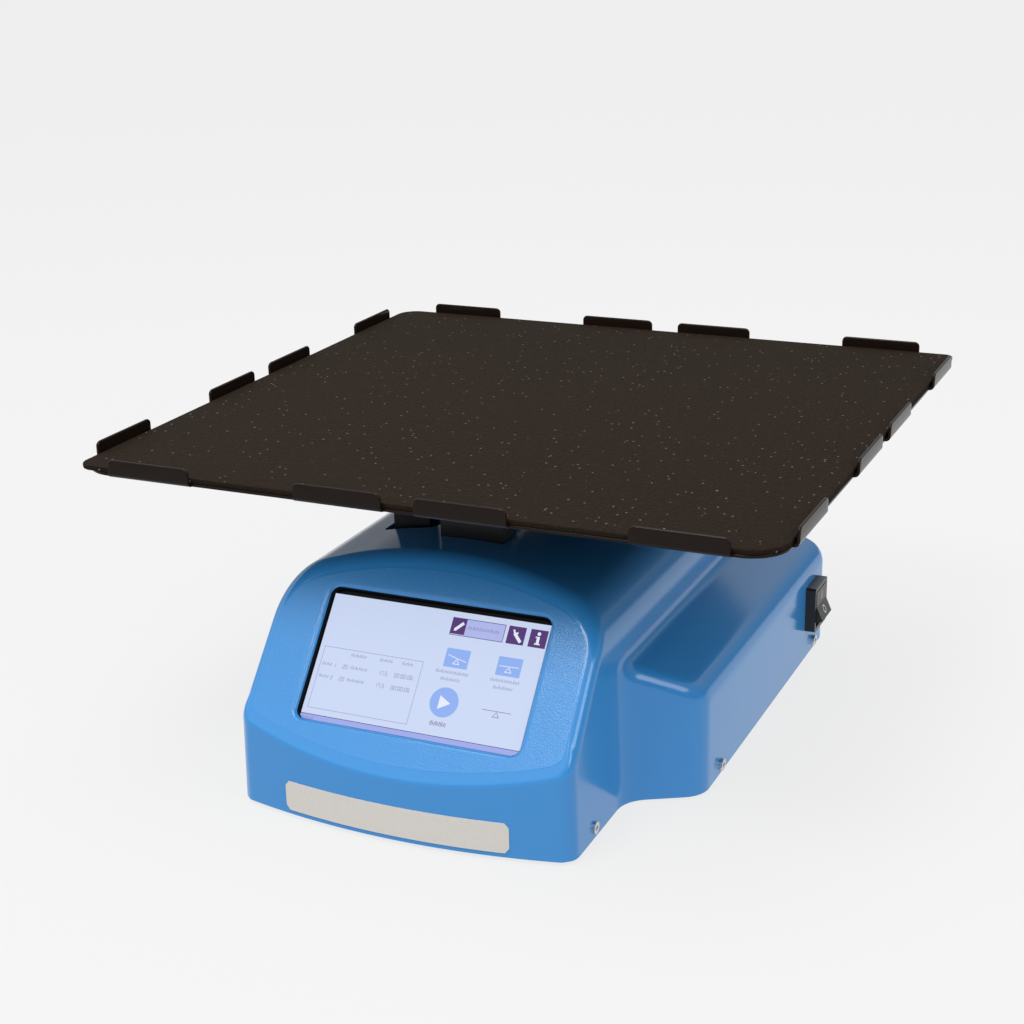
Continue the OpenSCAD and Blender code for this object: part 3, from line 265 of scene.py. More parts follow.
blue = bluePlastic()
rubberTop = matRubber()
glossBlack = plainPlastic("glossBlack", (0.0095, 0.0055, 0.0040), 0.14, 500, 0.000012, 0.1, spec=0.13)
glass = plainPlastic("screenGlass", (0.004, 0.004, 0.005), 0.08, 300, 0.000002, 0.1, spec=0.06)
coatBlack = plainPlastic("coatBlack", (0.006, 0.006, 0.007), 0.3, 1500, 0.00003, 0.1, spec=0.3)
moulded = plainPlastic("mouldedBlack", (0.011, 0.011, 0.012), 0.34, 1600, 0.00003, 0.15)
slots = {
    "bright_steel": plainMetal("brightSteel", (0.62, 0.62, 0.63), 0.2),
    "bearing_steel": plainMetal("groundSteel", (0.56, 0.57, 0.58), 0.22, (1, 14, 1)),
    "plated_steel": plainMetal("platedSteel", (0.50, 0.52, 0.54), 0.36, (9, 1, 1), 500),
    "machined_aluminium": plainMetal("machinedAluminium", (0.66, 0.67, 0.69), 0.3, (1, 1, 12), 700),
    "bronze": plainMetal("bronze", (0.48, 0.33, 0.15), 0.32),
    "motor_case": plainMetal("motorCase", (0.02, 0.02, 0.022), 0.38, (1, 40, 1), 300, 0.2, 0.00006),
    "foot_rubber": plainPlastic("footRubber", (0.02, 0.02, 0.02), 0.75),
    "black_foam": plainPlastic("blackFoam", (0.006, 0.006, 0.007), 0.9, 2600, 0.0001, spec=0.1),
    "belt_rubber": plainPlastic("beltRubber", (0.013, 0.013, 0.013), 0.7, 2000, 0.00005),
    "circuit_board": plainPlastic("circuitBoard", (0.012, 0.10, 0.035), 0.3, 350, 0.00004, 0.6),
    "cream_plate": plainPlastic("creamPlate", (0.60, 0.575, 0.54), 0.35, 700, 0.00001, 0.05),
    "black_coat": coatBlack,
    "gloss_black": glossBlack,
    "screen_glass": glass,
    "black_plastic": moulded,
    "mat_rubber": rubberTop,
    "blue_plastic": blue,
}


house = dict(
    floor=2.0, noseHalf=87.0, draft=2.0, cornerR=25.0, cornerX=60.0, cornerZ=84.37,
    roofMid=-120.0, roofInner=213.0, roofR=238.0, hubZ=35.0,
    bowY=153.3, bowR=350.0, noseR=9.0, footY=-196.7, footZ=33.2, tilt=50.0,
    footR=3.5, sideR=5.4, ridgeR=13.0, rearY=124.0, rearR=17.0,
    sideX=120.3, wingX=86.0, wingZ=71.8, wingDeg=24.0, wingR=14.0, wingCz=47.3,
    slantX=87.0, slantY=-121.2, slantDeg=29.1, wingTopR=9.0, wingCornerR=15.0,
    wingFrom=55.0, nookR=15.0, wingNookR=8.0,
    seamY=-184.0, wall=3.0, footRim=5.8, sideRim=5.2, ridgeRim=8.0,
)
sinT, cosT = math.sin(math.radians(house["tilt"])), math.cos(math.radians(house["tilt"]))


def skinDistance(p):
    # below zero inside the housing: hump and bow meet in the nose, the panel cuts it,
    # the wings join it with a hollow, and the back wall cuts all; each meeting has its own radius
    h = house
    x, y, z = np.abs(p[..., 0]), p[..., 1], p[..., 2]
    rho = np.hypot(x, z - h["roofMid"])
    onRoof = x * (h["cornerZ"] - h["roofMid"]) < h["cornerX"] * (z - h["roofMid"])
    toCorner = np.hypot(x - h["cornerX"], z - h["cornerZ"])
    low = z < h["cornerZ"]
    side = x - h["cornerX"] - h["draft"] * (1 - z / h["cornerZ"])
    hump = np.where(low, side, np.where(onRoof, rho - h["roofInner"], toCorner)) - h["cornerR"]
    upness = np.where(low, 0.0, np.where(onRoof, 1.0, (z - h["cornerZ"]) / np.maximum(toCorner, 1e-6)))
    bow = np.hypot(x, y - h["bowY"]) - h["bowR"]
    panel = (z - h["footZ"]) * cosT - (y - h["footY"]) * sinT
    nose = roundMax(hump, bow, h["noseR"], 0.25)
    t = np.clip((bow - hump) / 14 + 0.5, 0, 1)
    edgeR = h["sideR"] + (h["ridgeR"] - h["sideR"]) * np.clip(upness, 0, 1)
    nose = roundMax(nose, panel, edgeR + (h["footR"] - edgeR) * t, upness * cosT * (1 - t) + 0.74 * t)
    wd = math.radians(h["wingDeg"])
    top = (z - h["wingZ"] + (x - h["wingX"]) * math.tan(wd)) * math.cos(wd)
    section = roundMax(x - h["sideX"], top, h["wingR"], math.sin(wd))
    sl = math.radians(h["slantDeg"])
    slant = (x - h["slantX"]) * math.sin(sl) - (y - h["slantY"]) * math.cos(sl)
    up = np.clip((z - h["wingCz"]) / 13, 0, 1)
    wingEdge = h["wingCornerR"] + (h["wingTopR"] - h["wingCornerR"]) * up
    wing = roundMax(section, slant, wingEdge, 0.486 - 0.288 * up)
    wing = np.maximum(wing, h["wingFrom"] - x)
    t = np.clip((slant - section) / 12 + 0.5, 0, 1)
    body = roundMin(nose, wing, h["wingNookR"] + (h["nookR"] - h["wingNookR"]) * t, 0.42)
    return roundMax(body, y - h["rearY"], h["rearR"], 0.0)


def castOut(origin, direction, far=260.0):
    # the farthest inside point along each ray, by halving
    lo, hi = np.zeros(origin.shape[:-1]), np.full(origin.shape[:-1], far)
    for step in range(36):
        mid = (lo + hi) / 2
        inside = skinDistance(origin + mid[..., None] * direction) < 0
        lo, hi = np.where(inside, mid, lo), np.where(inside, hi, mid)
    return origin + lo[..., None] * direction


def spread(a, b, n):
    # n places from a to b, without a itself
    return a + (b - a) * np.linspace(0, 1, n + 1)[1:]


openings = dict(
    postHalf=16.8, postY=(89.7, 102.3), slotX=(-58.0, -22.0), slotY=(-102.3, -71.0),
    slotMid=(-40.0, -82.0), slotHalf=(15.0, 8.0), slotR=(3, 3, 2.5, 7),
)
net = dict(
    low=16, bendZ=44.4, seamZ=48.3, shoulderX=67.04, lead=46, leadPower=1.35, noseEnd=-114.0, rearStart=119.0,
)


def sectionAngles():
    # directions round the section: heights up the side, the round corner, then places across the roof
    h = house
    sideZ = np.concatenate([spread(h["hubZ"], net["bendZ"], 7), spread(net["bendZ"], net["seamZ"], 7),
                            spread(net["seamZ"], h["cornerZ"], 44)])
    cornerA = spread(0, math.pi / 2 - math.atan2(h["cornerX"], h["cornerZ"] - h["roofMid"]), 18)
    slotFar, slotNear = -openings["slotX"][0], -openings["slotX"][1]
    roofX = np.concatenate([spread(net["shoulderX"], slotFar, 6), spread(slotFar, slotNear, 20),
                            spread(slotNear, openings["postHalf"], 4), spread(openings["postHalf"], 0, 9)])
    corner = np.stack([np.cos(cornerA), np.sin(cornerA)], -1) * h["cornerR"] + [h["cornerX"], h["cornerZ"]]
    wall = np.stack([np.full(len(sideZ), h["wingX"]), sideZ], -1)
    roof = np.stack([roofX, roofHeight(roofX)], -1)
    points = np.concatenate([[[h["wingX"], h["hubZ"]]], wall, corner, roof])
    return points, np.arctan2(points[:, 1] - h["hubZ"], points[:, 0]), len(sideZ)


def roofHeight(x):
    # the roof is an arc about a level line along the housing
    return house["roofMid"] + np.sqrt(house["roofR"] ** 2 - x ** 2)


rightPts, halfAngles, sideRows = sectionAngles()
lowN = net["low"]
seamCol = lowN + 14
angles = np.concatenate([halfAngles, (math.pi - halfAngles[:-1])[::-1]])
colsN = lowN * 2 + len(angles)

creaseY = house["footY"] + (rightPts[:, 1] - house["footZ"]) / math.tan(math.radians(house["tilt"]))
frontHalf = np.maximum(house["seamY"], creaseY)
frontLow = np.full(lowN, house["seamY"])
frontY = np.concatenate([frontLow, frontHalf, frontHalf[:-1][::-1], frontLow])

# stations along the housing: a lead from each direction's front edge, then rows shared by all
postNear, postFar = openings["postY"]
slotEnd = openings["slotY"][1]
fixedY = np.concatenate([
    [net["noseEnd"]], spread(net["noseEnd"], -postFar, 7), spread(-postFar, -postNear, 7),
    spread(-postNear, slotEnd, 10), spread(slotEnd, postNear, 46), spread(postNear, postFar, 6),
    spread(postFar, net["rearStart"], 14),
])
leadN = net["lead"]
lead = (np.linspace(0, 1, leadN + 1)[:-1] ** net["leadPower"])[:, None]
leadRows = frontY[None] + (net["noseEnd"] - frontY[None]) * lead
stationY = np.concatenate([leadRows, np.repeat(fixedY[:, None], colsN, 1)])
rowsN = len(stationY)


def wrapPoints():
    # the skin from the seam to the back: rays from a line along the housing out to its surface
    h, y = house, stationY
    # where the wall meets the floor at each station, to aim the low rays at
    onFloor = np.stack([np.zeros_like(y), y, np.full_like(y, h["floor"])], -1)
    side = castOut(onFloor, np.broadcast_to([1.0, 0, 0], onFloor.shape))[..., 0]
    phi = np.broadcast_to(np.concatenate([np.zeros(lowN), angles, np.full(lowN, math.pi)]), y.shape).copy()
    lowZ = np.linspace(h["floor"], h["hubZ"], lowN + 1)[:-1]
    lowPhi = np.arctan2(lowZ - h["hubZ"], side[:, :lowN])
    phi[:, :lowN] = lowPhi
    phi[:, -lowN:] = math.pi - lowPhi[:, ::-1]
    direction = np.stack([np.cos(phi), np.zeros_like(phi), np.sin(phi)], -1)
    points = castOut(np.stack([np.zeros_like(y), y, np.full_like(y, h["hubZ"])], -1), direction)
    points[:, 0, 2] = points[:, -1, 2] = h["floor"]
    return points


wrap = wrapPoints()
print("housing wrap", wrap.shape)


def openRect(x0, x1, y0, y1):
    # row and column numbers of the grid lines that bound a rectangle of the roof
    r0 = leadN + int(np.argmin(np.abs(fixedY - y0)))
    r1 = leadN + int(np.argmin(np.abs(fixedY - y1)))
    row = wrap[leadN + 10]
    xs = np.where(row[:, 2] < 100, 1000, row[:, 0])
    c0, c1 = int(np.argmin(np.abs(xs - x1))), int(np.argmin(np.abs(xs - x0)))
    return r0, r1, c0, c1


def rectLoop(r0, r1, c0, c1):
    # the rectangle's border once round, as points of the wrap
    wide, high = c1 - c0, r1 - r0
    rows = np.concatenate([np.full(wide, r0), np.arange(r0, r1), np.full(wide, r1), np.arange(r1, r0, -1)])
    cols = np.concatenate([np.arange(c0, c1), np.full(high, c1), np.arange(c1, c0, -1), np.full(high, c0)])
    return wrap[rows, cols]


def roundRectPoint(angle, halfW, halfH, radii):
    # where a ray from the middle leaves a rectangle with round corners, found by halving;
    # radii by quadrant, from +x +y round to +x -y
    d = np.stack([np.cos(angle), np.sin(angle)], -1)
    quad = (np.floor(np.mod(angle, 2 * math.pi) / (math.pi / 2)).astype(int)) % 4
    r = np.asarray(radii, float)[quad]
    lo, hi = np.zeros_like(angle), np.full_like(angle, 2 * (halfW + halfH))
    for step in range(40):
        mid = (lo + hi) / 2
        q = np.abs(d * mid[..., None]) - np.array([halfW, halfH])
        overX, overY = q[..., 0] + r, q[..., 1] + r
        straight = np.maximum(q[..., 0], q[..., 1])
        inCorner = (overX > 0) & (overY > 0)
        dist = np.where(inCorner, np.hypot(overX, overY) - r, straight)
        lo, hi = np.where(dist < 0, mid, lo), np.where(dist < 0, hi, mid)
    return d * lo[..., None]


def onPanel(x, v, depth):
    # panel coordinates to space: v up the slope from its foot, depth below the crease plane
    x, v, depth = np.broadcast_arrays(x, v, depth)
    y = house["footY"] + v * cosT + depth * sinT
    z = house["footZ"] + v * sinT - depth * cosT
    return np.stack([x, y, z], -1)


def pebbledDistance(x, v):
    # outline of the pebbled part of the panel, a fixed way in from its round edges
    h = house
    z = h["footZ"] + v * sinT
    ax = np.abs(x)
    half = np.where(z < h["cornerZ"], h["noseHalf"] - h["draft"] * z / h["cornerZ"],
                    h["cornerX"] + np.sqrt(np.maximum(h["cornerR"] ** 2 - (z - h["cornerZ"]) ** 2, 0)))
    side = ax - half + h["sideRim"]
    topV = (roofHeight(ax) - h["footZ"]) / sinT
    bowV = (h["bowY"] - np.sqrt(h["bowR"] ** 2 - ax ** 2) - h["footY"]) / cosT
    upper = v - topV + h["ridgeRim"]
    lower = bowV + h["footRim"] - v
    return roundMax(roundMax(side, upper, 9.0), lower, 5.0)


window = dict(x=1.2, v=54.1, w=115.8, h=66.8, r=4.5, bevel=1.3, depth=3.2)


def slotMesh(slotRect):
    # from the grid's rectangle in to the slot's round-cornered outline, then down through the wall
    loop = rectLoop(*slotRect)
    mid = np.array(openings["slotMid"])
    ang = np.arctan2(loop[:, 1] - mid[1], loop[:, 0] - mid[0])
    inner = roundRectPoint(ang, *openings["slotHalf"], openings["slotR"]) + mid
    t = np.linspace(0, 1, 7)[:, None, None]
    flat = loop[None, :, :2] * (1 - t) + inner[None] * t
    rings = np.concatenate([flat, roofHeight(flat[..., 0])[..., None]], -1)
    rings[0] = loop
    lip = np.repeat(rings[-1:], 5, 0)
    lip[1:, :, 2] -= np.array([0.25, 0.6, 1.5, 3.0])[:, None]
    lip[1:, :, :2] += (lip[1:, :, :2] - mid) * -0.02 * np.array([0.4, 0.8, 1, 1])[:, None, None]
    allRings = np.concatenate([rings, lip[1:]])
    return allRings.reshape(-1, 3), gridFaces(len(allRings), len(loop), loop=True)


def postHoleMesh(rect):
    # the edge of a post's hole, down through the wall
    loop = rectLoop(*rect)
    down = np.repeat(loop[None], 3, 0)
    down[1, :, 2] -= 1
    down[2, :, 2] -= house["wall"]
    return down.reshape(-1, 3), gridFaces(3, len(loop), loop=True)


def frontWall():
    # between the two seams: level rays fanned forwards from a line inside the nose
    h, across, hub = house, 150, -120.0
    rows = seamCol + 1
    left, right = wrap[0, ::-1][:rows], wrap[0, :rows]
    bend = math.asin(right[-1, 0] / (h["bowR"] - 2))
    turn = np.linspace(-1, 1, across + 1) * bend
    toward = np.stack([np.sin(turn) * h["bowR"], h["bowY"] - np.cos(turn) * h["bowR"] - hub], -1)
    toward[[0, -1]] = np.array([left[-1, :2], right[-1, :2]]) - [0.0, hub]
    toward /= np.linalg.norm(toward, axis=1, keepdims=True)
    d = np.concatenate([toward, np.zeros((across + 1, 1))], 1)
    start = np.stack([np.zeros(across + 1), np.full(across + 1, hub), np.full(across + 1, 20.0)], -1)
    foot = castOut(start, d)
    topZ = h["footZ"] + (foot[:, 1] - h["footY"]) * sinT / cosT
    frac = (right[:, 2] - h["floor"]) / (right[-1, 2] - h["floor"])
    z = h["floor"] + (topZ[None] - h["floor"]) * frac[:, None]
    start = np.stack([np.zeros_like(z), np.full_like(z, hub), z], -1)
    cap = castOut(start, np.broadcast_to(d, start.shape))
    cap[:, 0], cap[:, -1] = left, right
    return cap


def panelMesh(rim):
    # rings from the closed line of creases in to the pebbled part, the window's bevel and down its wall;
    # also how much each point belongs to the pebbled part
    h, wx, wv, b = house, window["x"], window["v"], window["bevel"]
    rx = rim[:, 0]
    rv = (rim[:, 1] - h["footY"]) * cosT + (rim[:, 2] - h["footZ"]) * sinT
    ang = np.arctan2(rv - wv, rx - wx)
    reach = np.hypot(rx - wx, rv - wv)
    edge, hi = np.zeros_like(reach), reach.copy()
    for step in range(40):
        m = (edge + hi) / 2
        ok = pebbledDistance(wx + m * np.cos(ang), wv + m * np.sin(ang)) < 0
        edge, hi = np.where(ok, m, edge), np.where(ok, hi, m)
    outer = roundRectPoint(ang, window["w"] / 2 + b, window["h"] / 2 + b, [window["r"] + b] * 4)
    inner = roundRectPoint(ang, window["w"] / 2, window["h"] / 2, [window["r"]] * 4)
    winR, inR = np.hypot(outer[:, 0], outer[:, 1]), np.hypot(inner[:, 0], inner[:, 1])
    steps = [(reach + (edge - reach) * t, 0.0, 0.0) for t in np.linspace(0.06, 1, 16)]
    steps += [(edge - t, 0.0, min(1.0, t * 1.5)) for t in (0.35, 0.7)]
    for t in np.linspace(0.06, 1, 12):
        steps.append(((edge - 0.7) * (1 - t) + winR * t, 0.0, 1.0 if t < 1 else 0.3))
    castN = len(steps)
    for t, down in ((0.15, 0.06), (0.5, 0.55), (0.85, 1.1), (1.0, 1.4)):
        steps.append((winR * (1 - t) + inR * t, down, 0.0))
    steps += [(inR, down, 0.0) for down in (1.7, window["depth"] + 1.0)]
    ringR = np.array([r for r, down, share in steps])
    ringD = np.array([down for r, down, share in steps])[:, None]
    pebble = np.array([0.0] + [share for r, down, share in steps])
    pts = onPanel(wx + ringR * np.cos(ang), wv + ringR * np.sin(ang), np.broadcast_to(ringD, ringR.shape))
    normal = np.array([0, -sinT, cosT])
    start = pts[:castN] - 12 * normal
    pts[:castN] = castOut(start, np.broadcast_to(normal, start.shape), 30.0)
    rings = np.concatenate([rim[None], pts])[:, ::-1]
    return rings.reshape(-1, 3), gridFaces(len(rings), len(rim), loop=True), np.repeat(pebble, len(rim))


def rearWall():
    # rows of constant height, the last ones bent up to the roof line
    backRow = wrap[-1]
    sideN = lowN + sideRows + 10
    right, left = backRow[:sideN], backRow[::-1][:sideN]
    topRow = backRow[sideN - 1:colsN - sideN + 1]
    u = (topRow[:, 0] - left[-1, 0]) / (right[-1, 0] - left[-1, 0])
    k = np.linspace(0, 1, sideN)[:, None]
    x = left[:, 0][:, None] * (1 - u) + right[:, 0][:, None] * u
    z = right[:, 2][:, None] + (topRow[:, 2] - right[-1, 2])[None] * k ** 4
    start = np.stack([x, np.full_like(x, 60.0), z], -1)
    rear = castOut(start, np.broadcast_to([0.0, 1.0, 0.0], start.shape))
    rear[:, 0], rear[:, -1], rear[-1] = right, left, topRow
    return rear


def lowerEdge(foot):
    # turned in by the wall's thickness and up inside, along the slope of the distance at the foot
    e = 0.5
    gx = (skinDistance(foot + [e, 0, 3]) - skinDistance(foot + [-e, 0, 3]))
    gy = (skinDistance(foot + [0, e, 3]) - skinDistance(foot + [0, -e, 3]))
    n = np.stack([gx, gy, np.zeros_like(gx)], -1)
    n /= np.linalg.norm(n, axis=1, keepdims=True)
    within = foot - n * house["wall"]
    levels = [foot, foot - n * 0.4, within, within + [0, 0, 9]]
    levels[1][:, 2] = house["floor"]
    return np.stack(levels).reshape(-1, 3), gridFaces(len(levels), len(foot), loop=True)[:, ::-1]


def housingMesh():
    # the wrap without its holes, the edges of the holes, front wall, panel, back wall and lower edge;
    # share is how much each point belongs to the pebbled part
    half, ys = openings["postHalf"], openings["postY"]
    posts = [openRect(-half, half, -ys[1], -ys[0]), openRect(-half, half, *ys)]
    slotRect = openRect(*openings["slotX"], *openings["slotY"])
    keep = np.ones((rowsN - 1, colsN - 1), bool)
    for r0, r1, c0, c1 in posts + [slotRect]:
        keep[r0:r1, c0:c1] = False
    cap, rear = frontWall(), rearWall()
    parts = [(wrap.reshape(-1, 3), gridFaces(rowsN, colsN)[keep.ravel()]), slotMesh(slotRect)]
    parts += [postHoleMesh(rect) for rect in posts]
    parts.append((cap.reshape(-1, 3), gridFaces(*cap.shape[:2])))
    rim = np.concatenate([cap[-1], wrap[0, seamCol + 1:colsN - seamCol - 1]])
    points, faces, pebble = panelMesh(rim)
    pebbleStart = sum(len(part[0]) for part in parts)
    parts.append((points, faces))
    parts.append((rear.reshape(-1, 3), gridFaces(*rear.shape[:2])[:, ::-1]))
    parts.append(lowerEdge(np.concatenate([cap[0], wrap[1:, 0], rear[0, 1:], wrap[1:-1, -1][::-1]])))
    verts, quads = joinParts(parts)
    share = np.zeros(len(verts))
    share[pebbleStart:pebbleStart + len(pebble)] = pebble
    return verts, quads, share


verts, quads, pebbleAttr = housingMesh()
first, inverse = np.unique(np.round(verts, 3), axis=0, return_index=True, return_inverse=True)[1:]
inverse = inverse.ravel()
attr = np.zeros(len(first))
np.maximum.at(attr, inverse, pebbleAttr)
skinVerts = verts[first]
skinPolys = cleanPolys(inverse[quads])
skin = makeObject("housingSkin", skinVerts, skinPolys, blue, "base", ["housing_shell"],
                  sharpDeg=32)
layer = skin.data.attributes.new("pebble", "FLOAT", "POINT")
if len(skin.data.vertices) == len(attr):
    layer.data.foreach_set("value", attr)
print("housing skin", len(skin.data.vertices), len(skin.data.polygons))


def roundRectLoop(half, radii, perCorner=14, perSide=40):
    # closed outline of a square, anticlockwise from +x +y, each corner with its own radius
    a = np.linspace(0, math.pi / 2, perCorner + 1)
    turns = []
    for k in range(4):
        r, after = radii[k], radii[(k + 1) % 4]
        arc = np.stack([half - r + r * np.cos(a), half - r + r * np.sin(a)], -1)
        along = np.linspace(half - r, after - half, perSide + 1)[1:-1]
        line = np.stack([along, np.full(perSide - 1, half)], -1)
        c, sn = math.cos(k * math.pi / 2), math.sin(k * math.pi / 2)
        turns.append(np.concatenate([arc, line]) @ np.array([[c, sn], [-sn, c]]))
    return np.concatenate(turns)


def plateMesh(half, radii, z0, z1, edge):
    # a flat plate whose upper and lower edges are rounded
    a = np.linspace(0, math.pi / 2, 5)
    levels = [(edge - edge * math.cos(t), z0 + edge - edge * math.sin(t)) for t in a[::-1]]
    levels += [(edge - edge * math.cos(t), z1 - edge + edge * math.sin(t)) for t in a]
    rings = []
    for inset, z in levels:
        ring = roundRectLoop(half - inset, [max(r - inset, 0.5) for r in radii])
        rings.append(np.column_stack([ring, np.full(len(ring), z)]))
    n = len(rings[0])
    verts = np.concatenate(rings)
    faces = gridFaces(len(rings), n, loop=True).tolist()
    faces.append(list(range(n))[::-1])
    faces.append([len(verts) - n + i for i in range(n)])
    return verts, faces


pad = dict(half=175.2, radii=(5.0, 12.0, 8.0, 17.5), z0=156.1, z1=158.6, edge=0.7)
v, f = plateMesh(**pad)
makeObject("rubberMat", v, f, rubberTop, "rocking_tray", ["rubber_mat"], sharpDeg=50)

tray = dict(
    half=178.0, r=18.0, sheetZ=154.6, t=1.5, sheetEdge=0.4, bend=1.2,
    tabTop=163.8, length=45.2, places=(-132.3, -30.8, 30.8, 132.3), cornerR=2.8, endEdge=0.4,
)


def tabMesh():
    # a strip of sheet that leaves the tray, bends up and ends in a round edge, carried along the tab;
    # near both ends its height drops by a quarter round and its thickness draws in
    t, b = tray["t"], tray["bend"]
    outer = b + t
    half, z0, top = tray["half"], tray["sheetZ"], tray["tabTop"]
    bend = np.linspace(0, math.pi / 2, 9)
    yIn = -half + outer
    outside = [(yIn + 3, z0)] + [(yIn - outer * math.sin(k), z0 + outer - outer * math.cos(k)) for k in bend]
    inside = [(yIn - b * math.sin(k), z0 + outer - b * math.cos(k)) for k in bend[::-1]] + [(yIn + 3, z0 + t)]
    over = np.linspace(0, math.pi, 7)
    cap = [(-half + t / 2 - t / 2 * math.cos(k), top - t / 2 + t / 2 * math.sin(k)) for k in over]
    loop = np.array(outside + cap + inside)
    riseFrom = z0 + outer
    length, r, e = tray["length"], tray["cornerR"], tray["endEdge"]
    endSteps = np.array([0, 0.12, 0.3, 0.6, 1.0, 1.5, 2.1, 2.8])
    d = np.concatenate([endSteps, np.linspace(4, length - 4, 8), length - endSteps[::-1]])
    near = np.minimum(d, length - d)
    drop = np.where(near < r, r - np.sqrt(np.maximum(r * r - (r - near) ** 2, 0)), 0)
    thin = np.where(near < e, np.sqrt(np.maximum(1 - (1 - near / e) ** 2, 0.15)), 1.0)
    z = loop[:, 1]
    frac = np.clip((z - riseFrom) / (top - riseFrom), 0, 1)
    centerY = np.where(z > riseFrom - 0.01, -half + t / 2, loop[:, 0])
    verts = np.zeros((len(d), len(loop), 3))
    verts[..., 0] = (d - length / 2)[:, None]
    verts[..., 1] = centerY + (loop[:, 0] - centerY) * thin[:, None]
    verts[..., 2] = z - frac * drop[:, None]
    faces = gridFaces(len(d), len(loop), loop=True).tolist()
    n = len(loop)
    faces.append(list(range(n))[::-1])
    faces.append([(len(d) - 1) * n + i for i in range(n)])
    return verts.reshape(-1, 3), faces


def traySheetMesh():
    # the flat sheet and its tabs, the same on each of the four sides
    flat, foot, top = tray["half"] - tray["bend"] - tray["t"], tray["sheetZ"], tray["sheetZ"] + tray["t"]
    sheet, faces = plateMesh(flat, [tray["r"]] * 4, foot, top, tray["sheetEdge"])
    tab, tabFaces = tabMesh()
    points, n = [sheet], len(sheet)
    for turn in range(4):
        c, s = math.cos(turn * math.pi / 2), math.sin(turn * math.pi / 2)
        for place in tray["places"]:
            points.append((tab + [place, 0, 0]) @ np.array([[c, s, 0], [-s, c, 0], [0, 0, 1]]))
            faces += [[i + n for i in q] for q in tabFaces]
            n += len(tab)
    return np.concatenate(points), faces


v, f = traySheetMesh()
makeObject("traySheet", v, f, glossBlack, "rocking_tray", ["tray_sheet"], sharpDeg=40)
print("tray done")


screen = dict(x=1.25, v=52.6, w=114.3, h=64.3, depth=4.4, glassW=123.8, glassH=74.8, glassR=2.0)
lining = dict(depth=1.45, t=0.15)


def glassMesh():
    # a flat round-cornered rectangle on the panel, a little below the picture
    a = np.linspace(0, math.pi / 2, 6)
    halfW, halfH, r = screen["glassW"] / 2, screen["glassH"] / 2, screen["glassR"]
    sides = ((1, 1), (-1, 1), (-1, -1), (1, -1))
    xs, vs = [], []
    for k, (p, q) in enumerate(sides):
        xs.append(window["x"] + p * (halfW - r) + r * np.cos(a + k * math.pi / 2))
        vs.append(window["v"] + q * (halfH - r) + r * np.sin(a + k * math.pi / 2))
    points = onPanel(np.concatenate(xs), np.concatenate(vs), screen["depth"] + 0.05)
    return points, [list(range(len(points)))]


v, f = glassMesh()
makeObject("touchGlass", v, f, glass, "base", ["touch_glass"], smooth=False)


def liningMesh():
    # thin black lining down the window's walls, from the bevel to the glass: a section carried round it
    a = np.linspace(0, 2 * math.pi, 241)[:-1]
    top, foot, t = lining["depth"], screen["depth"] - 0.02, lining["t"]
    loops = []
    for grow, depth in ((-t, top), (0.0, top), (0.0, foot), (-t, foot)):
        edge = roundRectPoint(a, window["w"] / 2 + grow, window["h"] / 2 + grow, [window["r"] + grow] * 4)
        loops.append(onPanel(window["x"] + edge[:, 0], window["v"] + edge[:, 1], depth))
    points = np.stack(loops).reshape(-1, 3)
    return points, gridFaces(5, len(a), loop=True) % len(points)


v, q = liningMesh()
makeObject("windowLining", v, q, slots["black_foam"], "base", sharpDeg=40)


def litMaterial(name, color, strength):
    # a dark surface that glows evenly
    lit = newMaterial(name, tuple(c * 0.1 for c in color), 0.5, Specular_IOR_Level=0.1)
    shader = lit.node_tree.nodes["Principled BSDF"]
    shader.inputs["Emission Color"].default_value = (*color, 1)
    shader.inputs["Emission Strength"].default_value = strength
    return lit


display = dict(
    base=(0.62, 0.71, 0.93), lavender=(0.36, 0.43, 0.86), pale=(0.45, 0.50, 0.87), purple=(0.10, 0.045, 0.19),
    blue=(0.29, 0.45, 0.90), white=(0.80, 0.86, 0.97), ink=(0.26, 0.21, 0.45), line=(0.40, 0.40, 0.66),
    glow=0.86, layer=0.03,
)


def drawOnScreen(name, shapes, color, layer):
    # flat shapes of one colour, in millimetres right and down from the picture's top left corner
    pts = np.concatenate(shapes)
    left, top = screen["x"] - screen["w"] / 2, screen["v"] + screen["h"] / 2
    verts = onPanel(left + pts[:, 0], top - pts[:, 1], screen["depth"] - display["layer"] * layer)
    ends = np.cumsum([len(shape) for shape in shapes])
    polys = [list(range(end - len(shape), end)) for end, shape in zip(ends, shapes)]
    makeObject(name, verts, polys, litMaterial(name + "Light", color, display["glow"]), "base", smooth=False)


def box(x0, y0, x1, y1):
    # a rectangle from two opposite corners
    return np.array([[x0, y1], [x1, y1], [x1, y0], [x0, y0]])


def stroke(x0, y0, x1, y1, width):
    # a straight line with square ends
    along = np.array([x1 - x0, y1 - y0]) / math.hypot(x1 - x0, y1 - y0)
    off = np.array([-along[1], along[0]]) * width / 2
    a, b = np.array([x0, y0]), np.array([x1, y1])
    return np.array([a + off, b + off, b - off, a - off])


def disc(x, y, r, n=40):
    # a circle of n points
    a = np.linspace(0, 2 * math.pi, n + 1)[:-1]
    return np.stack([x + r * np.cos(a), y - r * np.sin(a)], -1)


def frameOf(x0, y0, x1, y1, width):
    # the four sides of a rectangle
    top, bottom = y0 + width, y1 - width
    return [box(x0, y0, x1, top), box(x0, bottom, x1, y1), box(x0, top, x0 + width, bottom),
            box(x1 - width, top, x1, bottom)]


